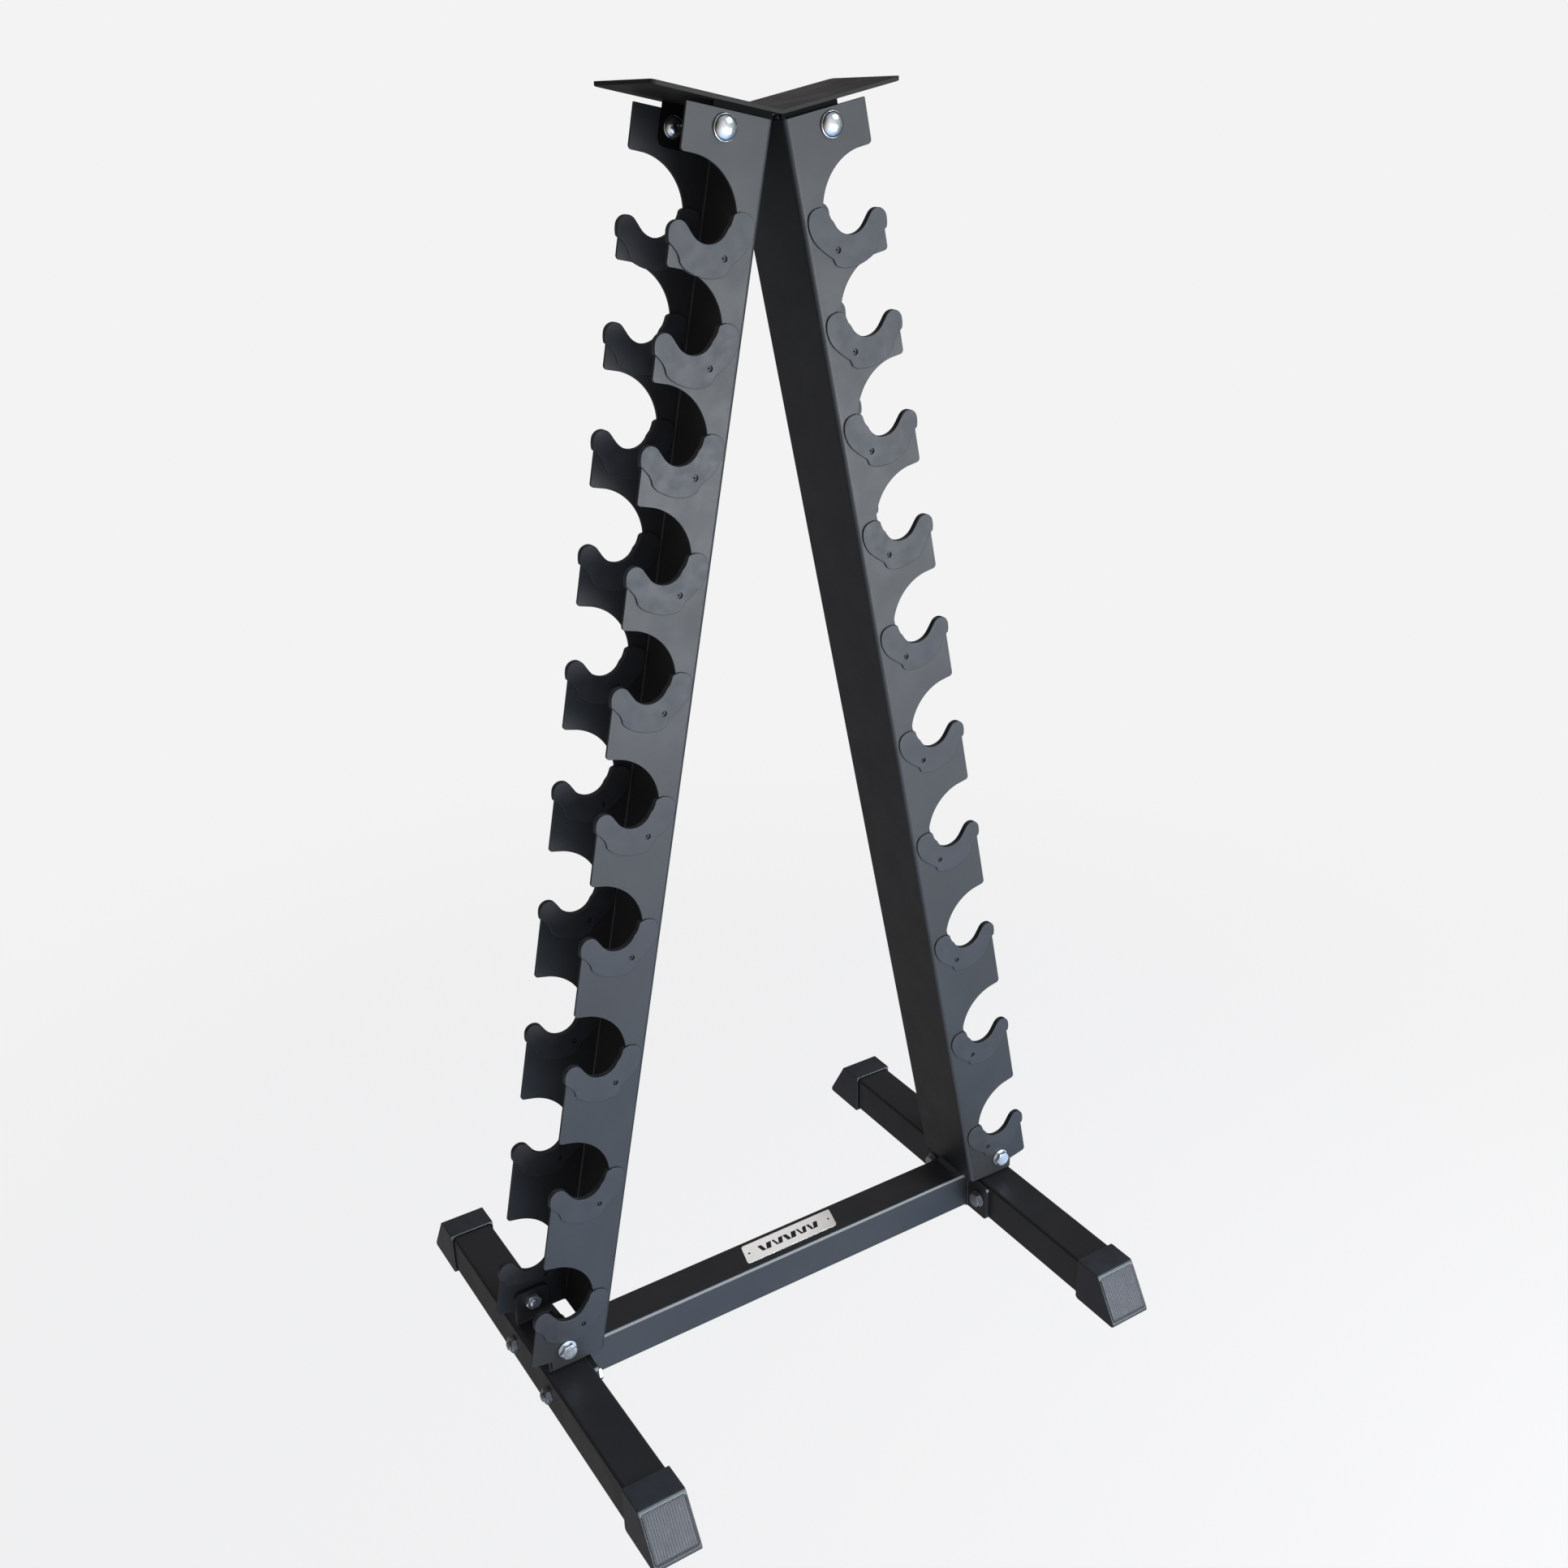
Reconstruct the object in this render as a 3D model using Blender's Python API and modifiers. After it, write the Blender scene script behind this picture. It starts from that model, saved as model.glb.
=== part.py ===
"""Ten-pair upright dumbbell rack as an assembly of named pieces.

Metres, +Z up, front towards -Y, origin on the floor at the middle of the footprint.
Two folded sheet channels lean together under a V-shaped top plate and stand on two
foot tubes joined by a crossbar. Every flange is cut with ten open notches, and every
notch carries a clip-on plastic liner that cradles one end of a dumbbell handle.
"""

import math

import bmesh
import bpy
from mathutils import Vector

# Uprights: local x runs outward from the web (w), local z runs up the channel (s).
LEAN = math.radians(11.5)
WEB_X = 0.2756            # web's inner face where it would meet the floor
SHEET = 0.003
CHANNEL_DEPTH = 0.100     # over both flanges, along Y
FLANGE_WIDTH = 0.089
BEND_RADIUS = 0.005
UPRIGHT_TOP = 1.3547
UPRIGHT_START = 0.030
UPRIGHT_BOTTOM_Z = 0.062
TOOTH_BOTTOM = 0.0622
TAB_SIDE_X = 0.3262
# Height along the channel of each notch's flat upper edge, top notch first.
NOTCH_TOPS = (
    1.3143, 1.2183, 1.1186, 1.0072, 0.8901, 0.7622, 0.6299, 0.4864, 0.3398, 0.1866,
)
# One notch, measured from its upper edge.
TOOTH_RADIUS = 0.004
SWEEP_CENTRE = (0.077, -0.0535)
SWEEP_RADIUS = 0.0535
CRADLE_CENTRE = (0.050, -0.0515)
CRADLE_RADIUS = 0.0265
HORN_CENTRE = (0.0815, -0.0655)
HORN_RADIUS = 0.0075
# Liners
RIM = 0.0060              # plastic between the cradle edge and the handle
LIP = 0.0022              # plastic over each face of the flange
FIT = 0.0003              # clearance between touching pieces
LINER_HORN_CENTRE = (0.0819, -0.0657)
LINER_HORN_RADIUS = 0.0103
# Bolts that hold the channels, in the channel's own axes
TOP_BOLT = (0.0485, 1.3399)
LOW_BOLT = (0.0482, 0.0762)
TOP_SHANK = 0.006
LOW_SHANK = 0.005
HOLE_PLAY = 0.0005
# Top plate
PLATE_UNDER = 1.3602
PLATE_THICK = 0.004
PLATE_REACH = 0.1275
PLATE_HALF_DEPTH = 0.056
PLATE_BEND = 0.012
PLATE_CORNER = 0.006
EAR_START = 0.0065
EAR_REACH = 0.061
EAR_BOTTOM = 1.3215
EAR_THICK = 0.004
# Base
TUBE = 0.050
TUBE_WALL = 0.0025
TUBE_RADIUS = 0.004
FOOT_X = 0.3075
FOOT_HALF = 0.262
SOLE = 0.004
BRACKET_HALF_WIDTH = 0.021
BRACKET_TOP = 0.0985
END_PLATE_HALF = 0.0635
END_PLATE_THICK = 0.005
END_PLATE_LOW = 0.0045
END_PLATE_TOP = 0.0505
END_PLATE_RADIUS = 0.005
CAP_START = 0.231
CAP_WALL = 0.0024
# Information plate on the crossbar
PLAQUE_SIZE = (0.130, 0.031, 0.0006)
PLAQUE_AT = (0.0167, 0.0015)
PLAQUE_LEAN = 0.27

FLANGE_MID = CHANNEL_DEPTH / 2 - SHEET / 2
INNER_FACE = CHANNEL_DEPTH / 2 - SHEET - FIT


def clear_scene():
    """Removes every object that is already in the file."""
    for obj in list(bpy.data.objects):
        bpy.data.objects.remove(obj)


def collection(name):
    """Returns a new collection linked under the scene."""
    made = bpy.data.collections.new(name)
    bpy.context.scene.collection.children.link(made)
    return made


def material(name, colour, roughness, metallic=0.0):
    """Returns a Principled material."""
    made = bpy.data.materials.new(name)
    made.use_nodes = True
    shader = made.node_tree.nodes["Principled BSDF"]
    shader.inputs["Base Color"].default_value = (*colour, 1.0)
    shader.inputs["Roughness"].default_value = roughness
    shader.inputs["Metallic"].default_value = metallic
    return made


def arc(centre, radius, start, end, steps):
    """Points of an arc from start to end degrees, both ends included."""
    points = []
    for index in range(steps + 1):
        angle = math.radians(start + (end - start) * index / steps)
        points.append((
            centre[0] + radius * math.cos(angle),
            centre[1] + radius * math.sin(angle),
        ))
    return points


def channel_point(x, z):
    """Turns a place in the XZ plane into the right-hand channel's own axes."""
    dx = x - WEB_X
    return (
        dx * math.cos(LEAN) + z * math.sin(LEAN),
        z * math.cos(LEAN) - dx * math.sin(LEAN),
    )


def world_point(w, s):
    """Turns a place in the right-hand channel's own axes into the XZ plane."""
    return (
        WEB_X + w * math.cos(LEAN) - s * math.sin(LEAN),
        w * math.sin(LEAN) + s * math.cos(LEAN),
    )


def signed_area(outline):
    """Area of a closed outline, positive when it runs counter-clockwise."""
    total = 0.0
    for index, (x, y) in enumerate(outline):
        nx, ny = outline[(index + 1) % len(outline)]
        total += x * ny - nx * y
    return total / 2


def add_prism(mesh, outline, low, high, place):
    """Adds a closed prism to a bmesh; place turns (u, v, depth) into a vector."""
    ring = list(outline)
    if signed_area(ring) < 0:
        ring.reverse()
    lower = [mesh.verts.new(place(u, v, low)) for u, v in ring]
    upper = [mesh.verts.new(place(u, v, high)) for u, v in ring]
    faces = [mesh.faces.new(lower), mesh.faces.new(upper)]
    for index in range(len(ring)):
        after = (index + 1) % len(ring)
        faces.append(mesh.faces.new(
            (lower[index], lower[after], upper[after], upper[index])
        ))
    bmesh.ops.recalc_face_normals(mesh, faces=faces)


def along_y(u, v, depth):
    """Outline in XZ, pulled along Y."""
    return Vector((u, depth, v))


def along_z(u, v, depth):
    """Outline in XY, pulled along Z."""
    return Vector((u, v, depth))


def along_x(u, v, depth):
    """Outline in YZ, pulled along X."""
    return Vector((depth, u, v))


def object_of(mesh, name, finish, home):
    """Stores a bmesh as a named object in a collection."""
    data = bpy.data.meshes.new(name)
    mesh.to_mesh(data)
    mesh.free()
    if finish:
        data.materials.append(finish)
    obj = bpy.data.objects.new(name, data)
    home.objects.link(obj)
    return obj


def cutter(mesh, name):
    """Stores a bmesh as a cutter, outside the part's own collection."""
    obj = object_of(mesh, name, None, CUTTERS)
    obj.hide_render = True
    obj.display_type = "WIRE"
    return obj


def combine(obj, tool, operation):
    """Adds an exact Boolean to an object."""
    step = obj.modifiers.new(tool.name, "BOOLEAN")
    step.operation = operation
    step.solver = "EXACT"
    step.object = tool


def baked(obj):
    """Replaces an object's mesh by its evaluated mesh, modifiers removed."""
    graph = bpy.context.evaluated_depsgraph_get()
    graph.update()
    data = bpy.data.meshes.new_from_object(obj.evaluated_get(graph))
    obj.modifiers.clear()
    old = obj.data
    obj.data = data
    bpy.data.meshes.remove(old)
    data.name = obj.name
    return obj


def tidy(obj):
    """Merges doubled vertices and dissolves edges inside flat faces."""
    mesh = bmesh.new()
    mesh.from_mesh(obj.data)
    bmesh.ops.remove_doubles(mesh, verts=mesh.verts, dist=1e-6)
    bmesh.ops.dissolve_limit(
        mesh, angle_limit=math.radians(0.05), verts=mesh.verts, edges=mesh.edges
    )
    bmesh.ops.triangulate(mesh, faces=[f for f in mesh.faces if len(f.verts) > 4])
    mesh.to_mesh(obj.data)
    mesh.free()
    return obj


def smooth(obj, degrees=35.0):
    """Shades smooth across edges flatter than the given angle."""
    obj.data.shade_smooth()
    obj.data.set_sharp_from_angle(angle=math.radians(degrees))
    return obj


def mirrored(obj, name, home):
    """Returns a copy reflected across the YZ plane of the object's own axes."""
    mesh = bmesh.new()
    mesh.from_mesh(obj.data)
    for vertex in mesh.verts:
        vertex.co.x = -vertex.co.x
    bmesh.ops.reverse_faces(mesh, faces=mesh.faces)
    made = object_of(mesh, name, None, home)
    made.data.materials.append(obj.data.materials[0])
    return smooth(made)


def stand_on_channel(obj, side, s=0.0, y=0.0):
    """Places an object drawn in channel axes on the right (1) or left (-1) channel."""
    x, z = world_point(0.0, s)
    obj.location = (side * x, y, z)
    obj.rotation_euler = (0.0, -side * LEAN, 0.0)
    return obj


def notch_outline():
    """Outline of one notch, from its upper edge, open towards the outside."""
    out = FLANGE_WIDTH + 0.015
    edge = FLANGE_WIDTH - TOOTH_RADIUS + 0.00005
    points = [(out, TOOTH_RADIUS)]
    points += arc((edge, TOOTH_RADIUS), TOOTH_RADIUS, 0.0, -90.0, 3)
    sweep_top = (SWEEP_CENTRE[0], SWEEP_CENTRE[1] + SWEEP_RADIUS)
    points.append((sweep_top[0] + 0.004, 0.0))
    points += arc(SWEEP_CENTRE, SWEEP_RADIUS, 96.0, 180.0, 8)
    points += arc(CRADLE_CENTRE, CRADLE_RADIUS, 192.0, 326.5, 8)
    points += arc(HORN_CENTRE, HORN_RADIUS, 146.5, 0.0, 5)[:-1]
    points.append((FLANGE_WIDTH + 0.00005, HORN_CENTRE[1] - 0.0008))
    points.append((out, HORN_CENTRE[1] - 0.0008))
    return points


def foot_end_outline():
    """Region below a channel that its lower end is trimmed away by."""
    out = FLANGE_WIDTH + 0.015
    edge = FLANGE_WIDTH - TOOTH_RADIUS + 0.00005
    corner = TOOTH_BOTTOM + TOOTH_RADIUS
    points = [(out, corner)]
    points += arc((edge, corner), TOOTH_RADIUS, 0.0, -90.0, 3)
    shift = TOOTH_BOTTOM * math.sin(LEAN)
    points.append(((TAB_SIDE_X - WEB_X + shift) / math.cos(LEAN), TOOTH_BOTTOM))
    points.append(channel_point(TAB_SIDE_X, UPRIGHT_BOTTOM_Z))
    points.append(channel_point(WEB_X - 0.04, UPRIGHT_BOTTOM_Z))
    points.append((-0.04, -0.02))
    points.append((out, -0.02))
    return points


def channel_section():
    """U-shaped cross-section of a channel in (w, y)."""
    half = CHANNEL_DEPTH / 2
    inner = half - SHEET
    bend = BEND_RADIUS
    tight = BEND_RADIUS - SHEET
    points = [(FLANGE_WIDTH, -half)]
    points += arc((bend, bend - half), bend, 270.0, 180.0, 3)
    points += arc((bend, half - bend), bend, 180.0, 90.0, 3)
    points += [(FLANGE_WIDTH, half), (FLANGE_WIDTH, inner)]
    points += arc((bend, half - bend), tight, 90.0, 180.0, 3)
    points += arc((bend, bend - half), tight, 180.0, 270.0, 3)
    points.append((FLANGE_WIDTH, -inner))
    return points


def build_uprights(finish, home):
    """Two notched channels, the left one a reflection of the right one."""
    mesh = bmesh.new()
    add_prism(mesh, channel_section(), UPRIGHT_START, UPRIGHT_TOP, along_z)
    right = object_of(mesh, "upright_right", finish, home)
    cut = bmesh.new()
    reach = CHANNEL_DEPTH / 2 + 0.01
    for top in NOTCH_TOPS:
        outline = [(w, s + top) for w, s in notch_outline()]
        add_prism(cut, outline, -reach, reach, along_y)
    add_prism(cut, foot_end_outline(), -reach, reach, along_y)
    for centre, shank in ((TOP_BOLT, TOP_SHANK), (LOW_BOLT, LOW_SHANK)):
        hole = arc(centre, shank + HOLE_PLAY, 0.0, 337.5, 15)
        add_prism(cut, hole, -reach, reach, along_y)
    combine(right, cutter(cut, "cut_channel"), "DIFFERENCE")
    smooth(tidy(baked(right)))
    left = mirrored(right, "upright_left", home)
    stand_on_channel(right, 1)
    stand_on_channel(left, -1)


def liner_outline():
    """Outline of a liner in channel axes, from its notch's upper edge."""
    grip = CRADLE_RADIUS - RIM
    points = [
        (0.0270, -0.0422), (0.0289, -0.0441), (0.0295, -0.0478),
    ]
    points += arc(CRADLE_CENTRE, grip, 180.0, 308.3, 7)
    points += arc(LINER_HORN_CENTRE, LINER_HORN_RADIUS, 128.3, 0.0, 5)
    points += [
        (0.0916, -0.0715), (0.0903, -0.0756), (0.0886, -0.0764),
        (0.0812, -0.0825), (0.0780, -0.0873), (0.0765, -0.0912),
        (0.0690, -0.0967), (0.0580, -0.1000), (0.0450, -0.1008),
        (0.0330, -0.0980), (0.0276, -0.0945), (0.0255, -0.0880),
        (0.0165, -0.0792), (0.0088, -0.0692), (0.0050, -0.0570),
        (0.0066, -0.0462), (0.0125, -0.0408), (0.0215, -0.0399),
    ]
    return points


def flange_slot_outline():
    """Flange with clearance round one cradle, from its notch's upper edge."""
    edge = FLANGE_WIDTH + FIT
    points = arc(SWEEP_CENTRE, SWEEP_RADIUS - FIT, 156.0, 178.0, 2)
    points += arc(CRADLE_CENTRE, CRADLE_RADIUS - FIT, 189.0, 326.5, 7)
    points += arc(HORN_CENTRE, HORN_RADIUS + FIT, 146.5, 0.0, 6)
    points += [(edge, -0.115), (-0.005, -0.115), (-0.005, SWEEP_CENTRE[1] + 0.03)]
    return points


def build_liners(finish, home):
    """Forty liners: each side, front and rear flange, numbered from the top."""
    mesh = bmesh.new()
    half = SHEET / 2 + FIT + LIP
    add_prism(mesh, liner_outline(), -half, half, along_y)
    master = object_of(mesh, "liner_master", finish, CUTTERS)
    cut = bmesh.new()
    slot = SHEET / 2 + FIT
    add_prism(cut, flange_slot_outline(), -slot, slot, along_y)
    combine(master, cutter(cut, "cut_liner_slot"), "DIFFERENCE")
    smooth(tidy(baked(master)))
    lowest = lowest_liner(master)
    masters = {
        1: (master, lowest[1], lowest[-1]),
        -1: (
            mirrored(master, "liner_master_left", CUTTERS),
            mirrored(lowest[1], "liner_low_front_left", CUTTERS),
            mirrored(lowest[-1], "liner_low_rear_left", CUTTERS),
        ),
    }
    for side, tag in ((1, "right"), (-1, "left")):
        for face, end in ((-1, "front"), (1, "rear")):
            for index, top in enumerate(NOTCH_TOPS):
                source = masters[side][0]
                if index == len(NOTCH_TOPS) - 1:
                    source = masters[side][1 if face < 0 else 2]
                name = f"liner_{tag}_{end}_{index + 1:02d}"
                obj = bpy.data.objects.new(name, source.data.copy())
                obj.data.name = name
                home.objects.link(obj)
                stand_on_channel(obj, side, top, face * FLANGE_MID)
    for entry in masters.values():
        for obj in entry:
            bpy.data.objects.remove(obj)


def lowest_liner(master):
    """Bottom-notch liners, relieved round the low bolt and its bracket tab."""
    drop = NOTCH_TOPS[-1]
    centre = (LOW_BOLT[0], LOW_BOLT[1] - drop)
    made = {}
    for face, inside, name in ((1, 1, "liner_low_front"), (-1, -1, "liner_low_rear")):
        obj = bpy.data.objects.new(name, master.data.copy())
        CUTTERS.objects.link(obj)
        cut = bmesh.new()
        add_prism(cut, arc(centre, 0.0118, 0.0, 340.0, 17), -0.006, 0.006, along_y)
        combine(obj, cutter(cut, f"cut_{name}_bolt"), "DIFFERENCE")
        tab = bmesh.new()
        low = BRACKET_TOP - drop + 0.0015
        box = [(-0.001, low), (0.099, low), (0.099, low - 0.06), (-0.001, low - 0.06)]
        add_prism(tab, box, inside * 0.001, inside * 0.007, along_y)
        combine(obj, cutter(tab, f"cut_{name}_tab"), "DIFFERENCE")
        smooth(tidy(baked(obj)))
        made[face] = obj
    return made


def build_top_plate(finish, home):
    """V-shaped plate with four bolted ears welded under it."""
    mesh = bmesh.new()
    add_prism(mesh, plate_section(), -PLATE_HALF_DEPTH, PLATE_HALF_DEPTH, along_y)
    corners = []
    tip = world_point(PLATE_REACH, PLATE_UNDER)[0] - 0.004
    for edge in mesh.edges:
        a, b = edge.verts
        flat = abs(a.co.y - b.co.y) < 1e-6
        short = (a.co - b.co).length < PLATE_THICK * 1.01
        if flat and short and min(abs(a.co.x), abs(b.co.x)) > tip:
            corners.append(edge)
    bmesh.ops.bevel(
        mesh, geom=corners, offset=PLATE_CORNER, segments=3, profile=0.5,
        affect="EDGES", offset_type="OFFSET",
    )
    plate = object_of(mesh, "top_plate", finish, home)
    ears = bmesh.new()
    holes = bmesh.new()
    x, z = world_point(*TOP_BOLT)
    shape = [
        (EAR_START, PLATE_UNDER + 0.001), (EAR_START, EAR_BOTTOM + 0.004),
        (EAR_START + 0.004, EAR_BOTTOM), (EAR_REACH - 0.006, EAR_BOTTOM),
        (EAR_REACH, EAR_BOTTOM + 0.006), (EAR_REACH, PLATE_UNDER + 0.001),
    ]
    for side in (1, -1):
        outline = [world_point(w, s) for w, s in shape]
        outline = [(side * u, v) for u, v in outline]
        for face in (1, -1):
            add_prism(
                ears, outline, face * INNER_FACE, face * (INNER_FACE - EAR_THICK), along_y
            )
        hole = arc((side * x, z), TOP_SHANK + HOLE_PLAY, 0.0, 337.5, 15)
        add_prism(holes, hole, -0.06, 0.06, along_y)
    combine(plate, cutter(ears, "join_ears"), "UNION")
    combine(plate, cutter(holes, "cut_ear_holes"), "DIFFERENCE")
    smooth(tidy(baked(plate)))


def plate_section():
    """Section of the top plate in XZ: two straight wings and a rounded valley."""
    turn = math.degrees(LEAN)
    under = world_point(0.0, PLATE_UNDER)
    valley = under[1] - under[0] * math.tan(LEAN)
    inner = PLATE_BEND
    outer = PLATE_BEND + PLATE_THICK
    centre = (0.0, valley + outer / math.cos(LEAN))
    tip_low = world_point(PLATE_REACH, PLATE_UNDER)
    tip_high = world_point(PLATE_REACH, PLATE_UNDER + PLATE_THICK)
    points = [(-tip_low[0], tip_low[1])]
    points += arc(centre, outer, 270.0 - turn, 270.0 + turn, 4)
    points += [tip_low, tip_high]
    points += arc(centre, inner, 270.0 + turn, 270.0 - turn, 4)
    points.append((-tip_high[0], tip_high[1]))
    return points


def rounded_square(centre, size, radius, steps=2):
    """Square outline with rounded corners."""
    half = size / 2 - radius
    points = []
    for index, (sx, sy) in enumerate(((1, 1), (-1, 1), (-1, -1), (1, -1))):
        corner = (centre[0] + sx * half, centre[1] + sy * half)
        points += arc(corner, radius, 90.0 * index, 90.0 * index + 90.0, steps)
    return points


def add_ring_loop(mesh, series, place):
    """Adds one closed surface through a looping series of matching outlines."""
    rings = []
    for outline, depth in series:
        rings.append([mesh.verts.new(place(u, v, depth)) for u, v in outline])
    faces = []
    for ring, following in zip(rings, rings[1:] + rings[:1]):
        for index in range(len(ring)):
            after = (index + 1) % len(ring)
            faces.append(mesh.faces.new(
                (ring[index], ring[after], following[after], following[index])
            ))
    bmesh.ops.recalc_face_normals(mesh, faces=faces)


def build_feet(finish, home):
    """Foot tubes along Y, each with a folded bracket welded on top."""
    middle = SOLE + TUBE / 2
    for side, tag in ((1, "right"), (-1, "left")):
        x = side * FOOT_X
        mesh = bmesh.new()
        outer = rounded_square((x, middle), TUBE, TUBE_RADIUS)
        inner = rounded_square((x, middle), TUBE - 2 * TUBE_WALL, TUBE_RADIUS - TUBE_WALL)
        loop = (
            (outer, -FOOT_HALF), (outer, FOOT_HALF), (inner, FOOT_HALF), (inner, -FOOT_HALF),
        )
        add_ring_loop(mesh, loop, along_y)
        foot = object_of(mesh, f"foot_{tag}", finish, home)
        fold = bmesh.new()
        low = SOLE + TUBE - 0.001
        base = SOLE + TUBE + EAR_THICK
        section = [
            (-INNER_FACE, low), (INNER_FACE, low), (INNER_FACE, BRACKET_TOP),
            (INNER_FACE - EAR_THICK, BRACKET_TOP), (INNER_FACE - EAR_THICK, base),
            (EAR_THICK - INNER_FACE, base), (EAR_THICK - INNER_FACE, BRACKET_TOP),
            (-INNER_FACE, BRACKET_TOP),
        ]
        half = BRACKET_HALF_WIDTH
        add_prism(fold, section, x - half, x + half, along_x)
        combine(foot, cutter(fold, f"join_bracket_{tag}"), "UNION")
        holes = bmesh.new()
        bx, bz = world_point(*LOW_BOLT)
        hole = arc((side * bx, bz), LOW_SHANK + HOLE_PLAY, 0.0, 337.5, 15)
        add_prism(holes, hole, -0.06, 0.06, along_y)
        combine(foot, cutter(holes, f"cut_bracket_{tag}"), "DIFFERENCE")
        smooth(tidy(baked(foot)))


def build_crossbar(finish, home):
    """Crossbar along X with an end plate welded round each open end."""
    middle = SOLE + TUBE / 2
    end = FOOT_X - TUBE / 2 - FIT
    step = end - END_PLATE_THICK
    outer = rounded_square((0.0, middle), TUBE, TUBE_RADIUS)
    inner = rounded_square((0.0, middle), TUBE - 2 * TUBE_WALL, TUBE_RADIUS - TUBE_WALL)
    plate = []
    corners = ((1, END_PLATE_TOP), (-1, END_PLATE_TOP), (-1, END_PLATE_LOW), (1, END_PLATE_LOW))
    for index, (side, height) in enumerate(corners):
        inset = END_PLATE_RADIUS if height > middle else -END_PLATE_RADIUS
        centre = (side * (END_PLATE_HALF - END_PLATE_RADIUS), height - inset)
        plate += arc(centre, END_PLATE_RADIUS, 90.0 * index, 90.0 * index + 90.0, 2)
    mesh = bmesh.new()
    loop = (
        (plate, -end), (plate, -step), (outer, -step), (outer, step),
        (plate, step), (plate, end), (inner, end), (inner, -end),
    )
    add_ring_loop(mesh, loop, along_x)
    smooth(object_of(mesh, "crossbar", finish, home))


def build_caps(finish, home):
    """Plastic sleeves on the four tube ends, with a sole and a raked end face."""
    top = SOLE + TUBE + FIT + CAP_WALL
    half = TUBE / 2 + FIT + CAP_WALL
    outline = [
        (CAP_START, 0.004), (CAP_START + 0.004, 0.0), (0.2945, 0.0), (0.2970, 0.0020),
        (0.2966, 0.0055), (0.2670, top - 0.0022), (0.2642, top), (CAP_START, top),
    ]
    middle = SOLE + TUBE / 2
    for side, tag in ((1, "right"), (-1, "left")):
        for face, end in ((-1, "front"), (1, "rear")):
            x = side * FOOT_X
            mesh = bmesh.new()
            shape = [(face * u, v) for u, v in outline]
            add_prism(mesh, shape, x - half, x + half, along_x)
            cap = object_of(mesh, f"cap_{tag}_{end}", finish, home)
            rim = cap.modifiers.new("soft_edges", "BEVEL")
            rim.width = 0.0012
            rim.segments = 1
            rim.limit_method = "ANGLE"
            rim.angle_limit = math.radians(40.0)
            cut = bmesh.new()
            bore = rounded_square((x, middle), TUBE + 2 * FIT, TUBE_RADIUS)
            near = face * (CAP_START - 0.01)
            add_prism(cut, bore, near, face * (FOOT_HALF + FIT), along_y)
            combine(cap, cutter(cut, f"cut_cap_{tag}_{end}"), "DIFFERENCE")
            smooth(tidy(baked(cap)), 30.0)


def hexagon(across, count):
    """Hexagon given by its width across flats, as evenly turned points."""
    points = []
    for index in range(count):
        angle = 2 * math.pi * index / count
        within = (math.degrees(angle) % 60.0) - 30.0
        radius = across / 2 / math.cos(math.radians(within))
        points.append((radius * math.cos(angle), radius * math.sin(angle)))
    return points


def circle(radius, count):
    """Regular outline standing in for a circle."""
    return arc((0.0, 0.0), radius, 0.0, 360.0 * (count - 1) / count, count - 1)


def ring_stack(rings, name, finish, home, tip=None):
    """Closed body through rings [(outline, depth)], optionally ending in a point."""
    mesh = bmesh.new()
    layers = []
    for outline, depth in rings:
        layers.append([mesh.verts.new((u, depth, v)) for u, v in outline])
    faces = [mesh.faces.new(layers[0])]
    for layer, following in zip(layers, layers[1:]):
        for index in range(len(layer)):
            after = (index + 1) % len(layer)
            faces.append(mesh.faces.new(
                (layer[index], layer[after], following[after], following[index])
            ))
    if tip is None:
        faces.append(mesh.faces.new(layers[-1]))
    else:
        point = mesh.verts.new((0.0, tip, 0.0))
        last = layers[-1]
        for index in range(len(last)):
            after = (index + 1) % len(last)
            faces.append(mesh.faces.new((last[index], last[after], point)))
    bmesh.ops.recalc_face_normals(mesh, faces=mesh.faces)
    return smooth(object_of(mesh, name, finish, home))


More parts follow.
